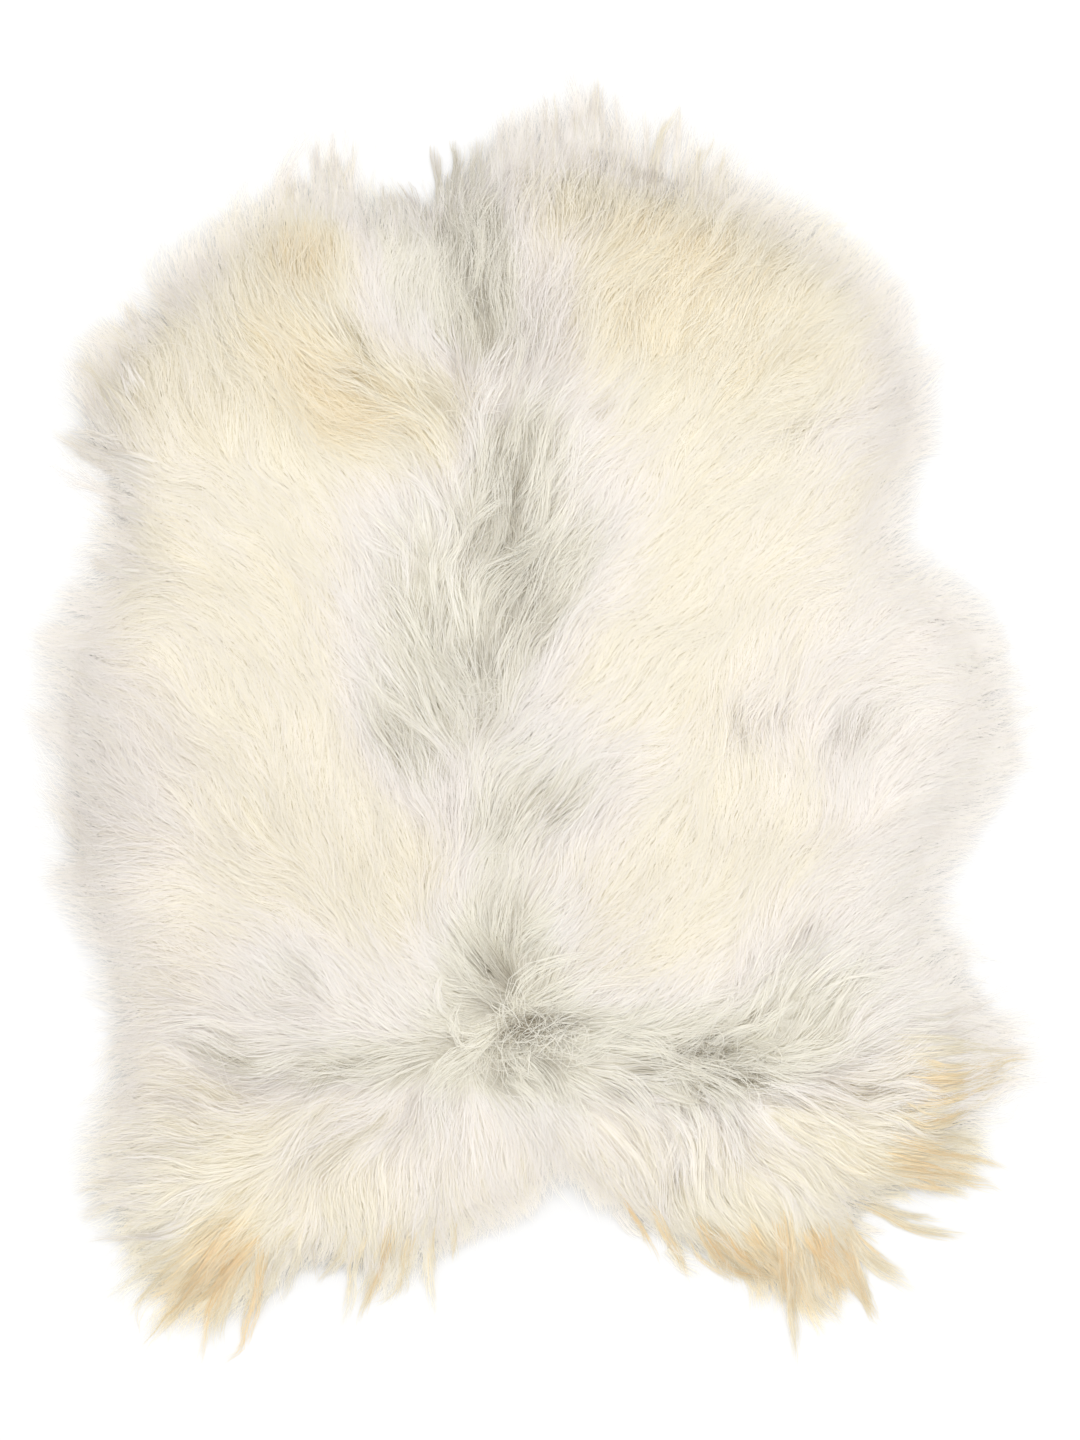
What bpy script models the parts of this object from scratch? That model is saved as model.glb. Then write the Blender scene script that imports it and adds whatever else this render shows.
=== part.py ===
"""A long-wool sheepskin rug, lying flat with its wool up and its neck towards +Y.

Two solids: the tanned skin, which lies on the floor, and the fleece that stands on it, a lumpy
slab of wool whose locks hang over the skin's edge and rest on the floor around it.
"""

import math
import random
from collections import namedtuple

import bmesh
import bpy
from mathutils import Vector

# Driving sizes, in metres.
SKIN_THICKNESS = 0.002
SKIN_INSET = 0.030  # from the dense wool's edge in to the skin's cut edge
CLEARANCE = 0.0004  # between the skin and the wool above it
RECESS_MARGIN = 0.0010  # between the skin's edge and the wool beside it
RIM_HEIGHT = 0.010  # of the wool where its rim locks leave it
WOOL_LOFT = 0.043  # of the wool in the middle of the rug
ROLL_WIDTH = 0.026  # over which the wool rises from its rim to about two thirds of its loft
RIM_LOCKS = 168
LOCK_GAP = 0.16  # share of the rim that is left between one lock's root and the next
LOCK_STEPS = 4
LOCK_TIP_WIDTH = 0.003
LOCK_TIP_HEIGHT = 0.003
LOCK_CURL = 260.0  # most that a lock turns from its root to its tip, in degrees per metre
LOCK_SPREAD = (0.70, 1.16)  # shortest and longest lock, as shares of its section's length
MOST_LEAN_DEG = 42.0  # that a lock leans from square to the rim
SEED = 3

# The rim, one row for each section of the skin, clockwise from the nape as seen from above.
# bearing: degrees clockwise from +Y, seen from the middle of the rug
# reach: metres from the middle to the edge of the dense wool
# lock: metres that the locks stand out past that edge
# points: compass bearing that the locks point to
Section = namedtuple("Section", "place bearing reach lock points")
RIM = (
    Section("nape dip", -12, 0.441, 0.026, -5),
    Section("nape", -6, 0.466, 0.034, -2),
    Section("crest", 2, 0.486, 0.052, -2),
    Section("crest tuft", 6, 0.488, 0.078, 1),
    Section("right crest", 11, 0.484, 0.048, 8),
    Section("right neck", 17, 0.476, 0.040, 16),
    Section("right shoulder", 27, 0.470, 0.028, 34),
    Section("right fore edge", 36, 0.461, 0.028, 42),
    Section("right foreleg", 44, 0.437, 0.030, 52),
    Section("right elbow", 50, 0.408, 0.028, 62),
    Section("right armpit", 55, 0.363, 0.024, 74),
    Section("right girth", 61, 0.329, 0.023, 76),
    Section("right ribs", 70, 0.340, 0.026, 76),
    Section("right belly", 78, 0.371, 0.032, 76),
    Section("right middle", 88, 0.384, 0.036, 84),
    Section("right flank", 96, 0.375, 0.034, 92),
    Section("right loin", 104, 0.353, 0.030, 94),
    Section("right loin dip", 114, 0.351, 0.029, 90),
    Section("right thigh", 120, 0.384, 0.034, 82),
    Section("right hock tuft", 125, 0.442, 0.060, 84),
    Section("right hock", 130, 0.480, 0.040, 96),
    Section("right shank", 137, 0.508, 0.050, 106),
    Section("right wisps", 144, 0.496, 0.074, 122),
    Section("right rear tuft", 150, 0.516, 0.066, 140),
    Section("right rear curl", 156, 0.516, 0.086, 159),
    Section("right breech", 163, 0.464, 0.036, 162),
    Section("right tail side", 170, 0.413, 0.024, 170),
    Section("tail notch", 177, 0.379, 0.016, 176),
    Section("left tail side", 184, 0.414, 0.024, 188),
    Section("left breech", 191, 0.445, 0.036, 188),
    Section("left breech tuft", 197, 0.484, 0.052, 190),
    Section("left rear wisps", 203, 0.505, 0.032, 197),
    Section("left rear curl", 208, 0.540, 0.050, 202),
    Section("left rear tuft", 213, 0.570, 0.060, 214),
    Section("left shank", 219, 0.549, 0.042, 230),
    Section("left hock", 224, 0.514, 0.052, 242),
    Section("left thigh", 230, 0.462, 0.028, 258),
    Section("left loin", 240, 0.415, 0.022, 268),
    Section("left flank", 251, 0.408, 0.026, 271),
    Section("left belly", 262, 0.397, 0.032, 272),
    Section("left middle", 273, 0.395, 0.032, 278),
    Section("left ribs", 283, 0.386, 0.034, 288),
    Section("left girth", 293, 0.382, 0.026, 292),
    Section("left elbow tuft", 301, 0.428, 0.052, 290),
    Section("left foreleg", 308, 0.468, 0.028, 306),
    Section("left fore edge", 317, 0.477, 0.030, 322),
    Section("left shoulder", 328, 0.482, 0.030, 336),
    Section("left neck", 336, 0.490, 0.034, 346),
    Section("left neck tuft", 341, 0.468, 0.062, 353),
)

# Where the wool parts, as troughs between two points: metres, x to the right and y to the neck.
Trough = namedtuple("Trough", "place start end width depth")
TROUGHS = (
    Trough("nape parting", (-0.052, 0.440), (-0.040, 0.250), 0.022, 0.010),
    Trough("shoulder parting", (-0.040, 0.250), (-0.012, 0.130), 0.026, 0.012),
    Trough("back parting", (-0.012, 0.130), (-0.040, -0.060), 0.030, 0.008),
    Trough("loin parting", (-0.040, -0.060), (-0.010, -0.250), 0.028, 0.009),
    Trough("left rump parting", (-0.240, -0.300), (-0.060, -0.292), 0.030, 0.008),
    Trough("rump parting", (-0.060, -0.292), (0.040, -0.270), 0.026, 0.014),
    Trough("right rump parting", (0.100, -0.300), (0.250, -0.285), 0.030, 0.013),
)

# Crossing swells that make the wool lumpy: metres and degrees.
Swell = namedtuple("Swell", "wavelength bearing height phase")
SWELLS = (
    Swell(0.148, 24, 0.0026, 0.4),
    Swell(0.121, 318, 0.0026, 1.9),
    Swell(0.093, 82, 0.0020, 3.1),
    Swell(0.071, 352, 0.0016, 5.0),
    Swell(0.058, 48, 0.0012, 0.9),
)
TUFT_RELIEF = 0.0010  # unevenness from one tuft of wool to the next

# Rings of the fleece's upper surface, from the rim inwards: first by distance from the rim, then
# by share of what is left to the middle, with the stations of each for one at the rim.
ROLL_RINGS = (0.008, 0.020, 0.038, 0.060)
BACK_RINGS = (
    (0.90, 1),
    (0.80, 2),
    (0.70, 2),
    (0.60, 2),
    (0.50, 4),
    (0.40, 4),
    (0.30, 4),
    (0.20, 8),
    (0.10, 8),
)


def clear_scene():
    for obj in list(bpy.data.objects):
        bpy.data.objects.remove(obj)


def around(bearing, column):
    """A column of RIM at any bearing, on a smooth closed curve through the rows."""
    turned = (bearing - RIM[0].bearing) % 360 + RIM[0].bearing
    here = max(i for i in range(len(RIM)) if RIM[i].bearing <= turned)

    def row(index):
        laps, place = divmod(index, len(RIM))
        value = getattr(RIM[place], column)
        if column == "points":
            value += 360 * laps
        return RIM[place].bearing + 360 * laps, value

    (before, a), (low, b), (high, c), (after, d) = (row(here + k) for k in (-1, 0, 1, 2))
    span = high - low
    share = (turned - low) / span
    slope_in = (c - a) / (high - before) * span
    slope_out = (d - b) / (after - low) * span
    square, cube = share**2, share**3
    return (
        b * (2 * cube - 3 * square + 1)
        + slope_in * (cube - 2 * square + share)
        + c * (3 * square - 2 * cube)
        + slope_out * (cube - square)
    )


def polar(bearing, reach):
    turn = math.radians(bearing)
    return reach * math.sin(turn), reach * math.cos(turn)


def rim_point(bearing, inset=0.0):
    return polar(bearing, around(bearing, "reach") - inset)


def bearings_at(shares, steps=1800):
    """Bearings at shares of the way along the rim, for shares that rise from 0 towards 1."""
    bearings = [360 * k / steps for k in range(steps + 1)]
    points = [rim_point(bearing) for bearing in bearings]
    lengths = [0.0]
    for one, other in zip(points, points[1:]):
        lengths.append(lengths[-1] + math.dist(one, other))
    found, k = [], 0
    for share in shares:
        while lengths[k + 1] < share * lengths[-1]:
            k += 1
        part = (share * lengths[-1] - lengths[k]) / (lengths[k + 1] - lengths[k])
        found.append(bearings[k] + part * (bearings[k + 1] - bearings[k]))
    return found


def trough_depth(trough, x, y):
    (x0, y0), (x1, y1) = trough.start, trough.end
    along_x, along_y = x1 - x0, y1 - y0
    share = ((x - x0) * along_x + (y - y0) * along_y) / (along_x**2 + along_y**2)
    share = min(1.0, max(0.0, share))
    away = math.dist((x, y), (x0 + share * along_x, y0 + share * along_y))
    return trough.depth * math.exp(-((away / trough.width) ** 2))


def swell_height(swell, x, y):
    across_x, across_y = polar(swell.bearing, 1.0)
    turns = (x * across_x + y * across_y) / swell.wavelength
    return swell.height * math.sin(2 * math.pi * turns + swell.phase)


def wool_height(x, y, rim, rng):
    """Height of the wool above the floor at a place inside the rim."""
    inset = min(math.dist((x, y), point) for point in rim)
    height = RIM_HEIGHT + (WOOL_LOFT - RIM_HEIGHT) * (1 - math.exp(-inset / ROLL_WIDTH))
    relief = sum(swell_height(swell, x, y) for swell in SWELLS)
    relief += rng.uniform(-TUFT_RELIEF, TUFT_RELIEF)
    relief -= max(trough_depth(trough, x, y) for trough in TROUGHS)
    return height + relief * min(1.0, inset / max(ROLL_RINGS))


def level_ring(mesh, points, height):
    return [mesh.verts.new((x, y, height)) for x, y in points]


def join_rings(mesh, outer, inner, looks_up):
    """A band of faces between two rings that run clockwise, the inner with all or half the stations."""
    faces = []
    count = len(inner)
    for k in range(count):
        after = (k + 1) % count
        if len(outer) == count:
            faces.append((outer[k], inner[k], inner[after], outer[after]))
        else:
            middle, last = outer[2 * k + 1], outer[(2 * k + 2) % len(outer)]
            faces.append((outer[2 * k], inner[k], middle))
            faces.append((middle, inner[k], inner[after]))
            faces.append((middle, inner[after], last))
    for face in faces:
        mesh.faces.new(face if looks_up else face[::-1])


def fan(mesh, ring, height, looks_up):
    middle = mesh.verts.new((0.0, 0.0, height))
    for k, vert in enumerate(ring):
        face = (vert, middle, ring[(k + 1) % len(ring)])
        mesh.faces.new(face if looks_up else face[::-1])


def close_ring(mesh, ring, height, looks_up):
    """Fills a level ring with smaller rings of half the stations, and a fan in the middle."""
    while len(ring) > 21:
        points = [(0.55 * vert.co.x, 0.55 * vert.co.y) for vert in ring[::2]]
        inner = level_ring(mesh, points, height)
        join_rings(mesh, ring, inner, looks_up)
        ring = inner
    fan(mesh, ring, height, looks_up)


def lock_lean(left, right):
    """How far a lock leans from square to its root, in degrees, as the table has it."""
    square = math.degrees(math.atan2(left.y - right.y, right.x - left.x))
    seen_from_middle = math.degrees(math.atan2(left.x + right.x, left.y + right.y))
    lean = (around(seen_from_middle, "points") - square + 180) % 360 - 180
    return max(-MOST_LEAN_DEG, min(MOST_LEAN_DEG, lean))


def add_lock(mesh, root, lean, length, curl):
    """A four-sided lock that leaves the rim at its root, tapers and rests on the floor."""
    left, right = root[0].co.xy, root[3].co.xy
    middle = (left + right) / 2
    square = math.degrees(math.atan2(left.y - right.y, right.x - left.x))
    root_half = (right - left).length / 2
    last = root
    for step in range(1, LOCK_STEPS + 1):
        share = step / LOCK_STEPS
        turn = lean + curl * share
        middle = middle + Vector(polar(square + turn, length / LOCK_STEPS))
        half = LOCK_TIP_WIDTH / 2 + (root_half - LOCK_TIP_WIDTH / 2) * (1 - share) ** 0.9
        top = LOCK_TIP_HEIGHT + (RIM_HEIGHT - LOCK_TIP_HEIGHT) * (1 - share)
        side = Vector(polar(square + turn * share + 90, half))
        ring = [
            mesh.verts.new((*(middle - side), 0.0)),
            mesh.verts.new((*(middle - side), top)),
            mesh.verts.new((*(middle + side), top)),
            mesh.verts.new((*(middle + side), 0.0)),
        ]
        for k in range(4):
            after = (k + 1) % 4
            mesh.faces.new((last[k], last[after], ring[after], ring[k]))
        last = ring
    mesh.faces.new(last)


def finish_mesh(name, mesh, material, smooth):
    data = bpy.data.meshes.new(name)
    mesh.to_mesh(data)
    mesh.free()
    data.materials.append(material)
    for face in data.polygons:
        face.use_smooth = smooth
    obj = bpy.data.objects.new(name, data)
    bpy.context.scene.collection.objects.link(obj)
    return obj


def make_material(name, colour, roughness):
    material = bpy.data.materials.new(name)
    material.use_nodes = True
    shader = material.node_tree.nodes["Principled BSDF"]
    shader.inputs["Base Color"].default_value = (*colour, 1.0)
    shader.inputs["Roughness"].default_value = roughness
    shader.inputs["Metallic"].default_value = 0.0
    return material


def make_hide(bearings):
    """The tanned skin, flat on the floor."""
    mesh = bmesh.new()
    outline = [rim_point(bearing, SKIN_INSET) for bearing in bearings]
    under = level_ring(mesh, outline, 0.0)
    upper = level_ring(mesh, outline, SKIN_THICKNESS)
    join_rings(mesh, under, upper, looks_up=True)
    close_ring(mesh, under, 0.0, looks_up=False)
    close_ring(mesh, upper, SKIN_THICKNESS, looks_up=True)
    material = make_material("tanned_skin", (0.71, 0.62, 0.50), 0.85)
    return finish_mesh("hide", mesh, material, smooth=False)


def make_fleece(lock_starts, lock_ends, rng):
    """The wool: a lumpy slab with a recess under it for the skin, and locks all round its rim."""
    mesh = bmesh.new()
    rim = [rim_point(bearing) for pair in zip(lock_starts, lock_ends) for bearing in pair]
    floor_rim = level_ring(mesh, rim, 0.0)
    upper_rim = level_ring(mesh, rim, RIM_HEIGHT)

    for n in range(RIM_LOCKS):
        left, right = 2 * n, 2 * n + 1
        root = [floor_rim[left], upper_rim[left], upper_rim[right], floor_rim[right]]
        lean = lock_lean(floor_rim[left].co, floor_rim[right].co)
        length = around(lock_starts[n], "lock") * rng.uniform(*LOCK_SPREAD)
        curl = length * rng.uniform(-LOCK_CURL, LOCK_CURL)
        add_lock(mesh, root, lean, length, curl)
        after = (right + 1) % len(rim)
        gap = (floor_rim[right], upper_rim[right], upper_rim[after], floor_rim[after])
        mesh.faces.new(gap)

    ring = upper_rim
    for inset in ROLL_RINGS:
        points = [rim_point(bearing, inset) for bearing in lock_starts]
        inner = [mesh.verts.new((x, y, wool_height(x, y, rim, rng))) for x, y in points]
        join_rings(mesh, ring, inner, looks_up=True)
        ring = inner
    for share, every in BACK_RINGS:
        inner = []
        for bearing in lock_starts[::every]:
            x, y = polar(bearing, share * (around(bearing, "reach") - max(ROLL_RINGS)))
            inner.append(mesh.verts.new((x, y, wool_height(x, y, rim, rng))))
        join_rings(mesh, ring, inner, looks_up=True)
        ring = inner
    fan(mesh, ring, wool_height(0.0, 0.0, rim, rng), looks_up=True)

    edge = [rim_point(bearing, SKIN_INSET - RECESS_MARGIN) for bearing in lock_starts]
    recess_foot = level_ring(mesh, edge, 0.0)
    recess_top = level_ring(mesh, edge, SKIN_THICKNESS + CLEARANCE)
    join_rings(mesh, floor_rim, recess_foot, looks_up=False)
    join_rings(mesh, recess_foot, recess_top, looks_up=False)
    close_ring(mesh, recess_top, SKIN_THICKNESS + CLEARANCE, looks_up=False)
    material = make_material("wool", (0.90, 0.86, 0.77), 0.95)
    return finish_mesh("fleece", mesh, material, smooth=True)


def centre(objects):
    """Moves the meshes so that the middle of their overall width and length is at the origin."""
    places = [vert.co for obj in objects for vert in obj.data.vertices]
    middle_x = (min(p.x for p in places) + max(p.x for p in places)) / 2
    middle_y = (min(p.y for p in places) + max(p.y for p in places)) / 2
    for obj in objects:
        for vert in obj.data.vertices:
            vert.co.x -= middle_x
            vert.co.y -= middle_y


def build():
    clear_scene()
    rng = random.Random(SEED)
    lock_starts = bearings_at([n / RIM_LOCKS for n in range(RIM_LOCKS)])
    lock_ends = bearings_at([(n + 1 - LOCK_GAP) / RIM_LOCKS for n in range(RIM_LOCKS)])
    hide = make_hide(lock_starts)
    fleece = make_fleece(lock_starts, lock_ends, rng)
    centre([hide, fleece])


build()
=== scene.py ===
import math

import bpy
import numpy as np
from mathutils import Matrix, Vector
from mathutils.bvhtree import BVHTree
from mathutils.kdtree import KDTree


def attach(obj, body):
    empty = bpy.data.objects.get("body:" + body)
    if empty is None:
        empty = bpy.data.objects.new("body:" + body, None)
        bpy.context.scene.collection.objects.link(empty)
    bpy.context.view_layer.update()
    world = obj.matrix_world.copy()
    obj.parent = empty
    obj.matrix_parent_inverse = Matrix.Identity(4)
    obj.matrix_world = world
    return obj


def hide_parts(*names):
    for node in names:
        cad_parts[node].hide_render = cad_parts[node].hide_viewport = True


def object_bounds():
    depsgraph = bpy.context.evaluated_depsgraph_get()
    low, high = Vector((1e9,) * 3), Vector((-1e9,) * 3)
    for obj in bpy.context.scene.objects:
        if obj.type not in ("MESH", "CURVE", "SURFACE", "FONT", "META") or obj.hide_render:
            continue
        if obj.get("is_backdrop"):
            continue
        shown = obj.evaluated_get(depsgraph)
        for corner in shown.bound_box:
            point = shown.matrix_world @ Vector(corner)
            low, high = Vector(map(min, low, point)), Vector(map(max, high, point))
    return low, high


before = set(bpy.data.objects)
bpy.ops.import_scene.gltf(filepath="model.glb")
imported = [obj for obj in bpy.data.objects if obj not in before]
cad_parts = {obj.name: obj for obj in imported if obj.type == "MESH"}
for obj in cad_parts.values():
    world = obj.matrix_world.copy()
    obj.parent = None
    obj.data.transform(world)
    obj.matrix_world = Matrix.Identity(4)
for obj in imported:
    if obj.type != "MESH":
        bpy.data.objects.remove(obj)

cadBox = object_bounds()

# The photo is 1080 x 1440 and was taken from straight above.
photo = {
    "metresPerPixel": 0.00085,
    "middle": (537.5, 722.5),  # pixel that the middle of the rug falls on
    "size": (1080, 1440),
}


def fromPhoto(px, py):
    scale, (midX, midY) = photo["metresPerPixel"], photo["middle"]
    return (np.asarray(px, float) - midX) * scale, (midY - np.asarray(py, float)) * scale


# The lie of the wool.
# Which way the tips point, stroke by stroke: pixel x, pixel y, degrees anticlockwise from the right.
combing = {
    "nape": [
        (385, 200, 93), (440, 160, 97), (470, 150, 93), (470, 220, 92), (480, 280, 103),
        (430, 270, 93), (400, 320, 106), (500, 300, 87), (530, 200, 85), (545, 130, 88), (595, 90, 92),
        (600, 150, 86), (560, 270, 82), (590, 270, 76), (575, 330, 72), (490, 345, 92),
        (450, 340, 100),
    ],
    "rightNeck": [
        (655, 140, 88), (700, 160, 74), (720, 165, 64), (650, 230, 63), (700, 250, 53), (640, 290, 66),
        (660, 330, 60), (620, 370, 57), (560, 380, 54), (540, 348, 40), (505, 378, 42), (760, 190, 52),
        (790, 205, 40), (835, 238, 38), (730, 250, 60), (765, 240, 64), (800, 270, 57), (760, 310, 48),
        (740, 350, 54), (830, 310, 46), (865, 260, 46), (890, 300, 50), (875, 350, 56), (910, 385, 42),
    ],
    "rightShoulder": [
        (850, 390, 38), (820, 415, 31), (845, 440, 22), (890, 430, 17), (920, 410, 12), (925, 455, 6),
        (870, 480, 23), (900, 480, 18), (790, 450, 52), (760, 470, 50), (730, 400, 50), (720, 450, 46),
        (880, 505, 22), (860, 525, 28), (760, 520, 54), (805, 510, 44), (690, 540, 60), (650, 430, 53),
        (600, 450, 56), (700, 440, 48),
    ],
    "leftNeck": [
        (310, 150, 95), (330, 150, 94), (290, 190, 100), (345, 200, 96), (240, 230, 108),
        (170, 265, 112), (195, 245, 110), (215, 330, 110), (250, 345, 117), (270, 300, 105),
        (325, 310, 120), (365, 330, 112), (355, 372, 128), (300, 260, 98),
    ],
    "leftShoulder": [
        (128, 312, 146), (100, 350, 126), (85, 390, 122), (108, 440, 156), (52, 428, 160),
        (120, 430, 122), (160, 440, 124), (190, 490, 152), (230, 440, 112), (262, 420, 102),
        (340, 418, 140), (318, 460, 134), (300, 490, 130), (200, 390, 114), (150, 350, 120),
    ],
    "whorl": [
        (440, 388, 114), (455, 372, 96), (472, 395, 80), (425, 404, 152), (395, 393, 154),
        (370, 420, 156), (420, 450, 118), (470, 440, 90), (492, 450, 66), (520, 440, 54),
        (548, 425, 52), (400, 480, 122), (430, 500, 108), (370, 470, 132),
    ],
    "upperBack": [
        (490, 500, 82), (520, 500, 66), (560, 500, 66), (545, 465, 60), (450, 520, 92), (460, 570, 66),
        (480, 560, 72), (500, 530, 82), (505, 590, 60), (525, 560, 76), (548, 570, 66), (565, 540, 62),
        (585, 520, 60), (575, 600, 52), (560, 645, 52), (520, 650, 72), (410, 580, 105),
        (432, 560, 120), (390, 610, 106), (420, 620, 96), (435, 650, 100), (380, 660, 116),
        (450, 640, 86), (470, 665, 84), (492, 672, 68),
    ],
    "lowerBack": [
        (415, 700, 148), (442, 694, 138), (470, 696, 110), (500, 698, 46), (540, 685, 45),
        (390, 725, 126), (420, 745, 116), (450, 745, 124), (550, 722, 42), (500, 742, 28),
        (525, 762, 22), (565, 745, 38), (600, 715, 50), (592, 765, 50), (545, 792, 44), (570, 805, 74),
        (400, 800, 110), (432, 795, 110), (442, 835, 101), (490, 820, 86), (482, 852, 94),
        (502, 862, 78), (530, 870, 56), (560, 880, 60), (600, 870, 56), (458, 905, 115),
        (475, 945, 118), (430, 910, 105), (390, 925, 105), (500, 905, 92), (522, 930, 84),
        (500, 965, 100), (560, 925, 58),
    ],
    "rightBack": [
        (640, 560, 60), (600, 640, 52), (640, 620, 50), (650, 680, 57), (700, 620, 52), (702, 690, 78),
        (712, 742, 82), (640, 760, 55), (650, 850, 57), (690, 890, 52), (712, 920, 52), (650, 932, 48),
        (595, 952, 42), (625, 947, 38), (745, 665, 68), (762, 688, 76), (740, 705, 62), (772, 722, 66),
        (748, 738, 112), (800, 685, 78), (792, 705, 48), (820, 742, 100), (862, 722, 48),
        (870, 762, 33), (842, 745, 66), (850, 810, 64), (872, 800, 62), (800, 780, 62), (782, 812, 66),
        (735, 800, 72),
    ],
    "rightFlank": [
        (780, 560, 46), (832, 550, 36), (752, 600, 58), (850, 640, 36), (882, 660, 26), (862, 682, 28),
        (920, 700, 16), (905, 562, 18), (945, 575, 2), (925, 630, 8), (965, 640, 8), (1002, 640, 20),
        (992, 670, 24), (1005, 702, 17), (1012, 742, 18), (1002, 782, 20), (962, 822, 12),
        (940, 762, 15), (902, 772, 27), (800, 620, 50),
    ],
    "rightLoin": [
        (790, 852, 57), (822, 870, 50), (800, 882, 55), (850, 860, 38), (872, 882, 35), (740, 912, 56),
        (762, 860, 68), (732, 932, 60), (800, 930, 60), (830, 920, 46), (785, 935, 98), (882, 922, 34),
        (932, 902, 14), (942, 870, 5), (922, 950, 10), (740, 970, 62), (800, 962, 58), (822, 982, 50),
        (852, 962, 40), (902, 982, 28), (902, 1002, 24), (765, 1002, 88), (785, 1028, 66),
        (812, 1010, 46), (832, 1040, 44),
    ],
    "leftBack": [
        (240, 560, 136), (282, 560, 122), (332, 560, 110), (342, 600, 108), (355, 660, 122),
        (262, 682, 128), (277, 702, 118), (332, 692, 124), (302, 752, 112), (370, 762, 102),
        (352, 840, 104), (225, 732, 138), (252, 792, 128), (232, 828, 127), (290, 640, 122),
        (330, 510, 118), (270, 500, 128), (300, 830, 112), (330, 880, 110), (200, 600, 148),
        (222, 640, 136), (190, 650, 134),
    ],
    "leftFlank": [
        (130, 510, 165), (100, 520, 170), (142, 527, 160), (192, 542, 152), (212, 560, 158),
        (150, 572, 177), (92, 560, 174), (150, 602, 177), (100, 622, 176), (60, 602, 168),
        (50, 650, 170), (35, 690, 160), (110, 662, 166), (150, 692, 157), (130, 680, 160),
        (180, 740, 130), (150, 758, 118), (138, 792, 126), (162, 802, 148), (150, 822, 172),
        (90, 742, 154), (52, 760, 140), (52, 792, 132), (90, 832, 176), (60, 870, 166),
        (100, 882, 180), (152, 882, 180), (170, 930, 183), (130, 950, 180), (80, 930, 184),
        (210, 850, 162), (270, 880, 158), (240, 860, 150), (292, 930, 127), (322, 950, 120),
        (225, 910, 170),
    ],
    "leftRump": [
        (100, 962, 177), (130, 1002, 180), (152, 1042, 178), (100, 1062, 192), (110, 1110, 197),
        (200, 1042, 170), (232, 1052, 155), (222, 990, 158), (242, 962, 132), (262, 972, 126),
        (292, 1002, 143), (312, 982, 130), (332, 962, 122), (362, 982, 115), (350, 1012, 132),
        (342, 1034, 152), (312, 1052, 167), (352, 1062, 172), (282, 1062, 176), (282, 1090, 188),
        (200, 1092, 172), (232, 1112, 168), (222, 1130, 176), (160, 1120, 180), (350, 1090, 196),
        (382, 962, 107), (420, 982, 106), (462, 975, 115), (392, 1032, 150), (420, 1052, 143),
        (382, 1068, 176), (450, 1012, 146),
    ],
    "leftRear": [
        (142, 1150, 183), (200, 1152, 191), (242, 1160, 198), (272, 1130, 206), (312, 1120, 214),
        (342, 1120, 232), (130, 1190, 191), (202, 1180, 198), (232, 1190, 206), (272, 1190, 216),
        (302, 1182, 242), (92, 1220, 203), (112, 1240, 197), (152, 1240, 206), (202, 1230, 215),
        (232, 1240, 219), (262, 1230, 221), (130, 1272, 217), (112, 1290, 226), (182, 1270, 216),
        (202, 1272, 220), (242, 1270, 228), (292, 1260, 236), (150, 1330, 226), (205, 1332, 258),
        (250, 1322, 262), (286, 1290, 241), (330, 1260, 252), (345, 1292, 261), (372, 1300, 250),
    ],
    "tailLeft": [
        (330, 1202, 259), (360, 1190, 264), (472, 1080, 254), (440, 1092, 238), (402, 1090, 212),
        (382, 1120, 226), (432, 1112, 246), (470, 1122, 264), (402, 1180, 262), (442, 1180, 267),
        (482, 1180, 272), (402, 1250, 253), (382, 1300, 245), (430, 1292, 283), (402, 1290, 255),
        (455, 1262, 279), (482, 1250, 284), (502, 1230, 280), (530, 1212, 272), (522, 1190, 282),
    ],
    "tailRight": [
        (502, 1100, 300), (522, 1090, 302), (540, 1112, 305), (572, 1102, 300), (592, 1130, 300),
        (502, 1132, 280), (540, 1152, 290), (600, 1170, 302), (562, 1150, 295), (562, 1062, 322),
        (622, 1082, 334), (652, 1090, 322), (682, 1102, 300), (620, 1112, 310), (652, 1130, 295),
        (702, 1122, 278), (700, 1160, 284), (682, 1182, 290), (642, 1182, 290), (622, 1202, 285),
        (642, 1232, 300), (690, 1252, 301), (705, 1222, 310), (722, 1242, 312),
    ],
    "rumpParting": [
        (502, 1030, 168), (470, 1022, 174), (560, 1024, 12), (592, 1010, 17), (602, 1000, 20),
        (642, 1002, 23), (672, 1004, 26), (562, 990, 32), (602, 962, 38), (560, 1042, 352),
        (602, 1052, 357), (642, 1060, 354), (662, 1072, 352), (530, 1062, 312), (690, 1030, 20),
    ],
    "rightRump": [
        (735, 1050, 12), (762, 1066, 346), (802, 1070, 355), (832, 1080, 2), (862, 1050, 37),
        (882, 1040, 26), (922, 1030, 14), (872, 1020, 34), (962, 1010, 13), (982, 1005, 19),
        (902, 1060, 15), (882, 1090, 5), (952, 1050, 3), (982, 1062, 10), (1022, 1062, 13),
        (952, 1080, 17), (962, 1104, 32), (762, 1100, 350), (802, 1100, 347), (852, 1110, 336),
        (885, 1122, 326), (922, 1134, 350), (962, 1130, 10),
    ],
    "rightRear": [
        (850, 1132, 345), (802, 1130, 336), (862, 1160, 350), (922, 1150, 357), (962, 1160, 350),
        (922, 1180, 348), (962, 1190, 354), (990, 1180, 336), (740, 1122, 276), (762, 1132, 290),
        (740, 1162, 278), (782, 1170, 314), (792, 1190, 310), (832, 1200, 315), (732, 1202, 294),
        (762, 1202, 306), (790, 1220, 300), (742, 1240, 310), (802, 1240, 300), (832, 1230, 308),
        (732, 1262, 312), (755, 1272, 328), (802, 1280, 286), (842, 1270, 300), (872, 1310, 296),
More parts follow.
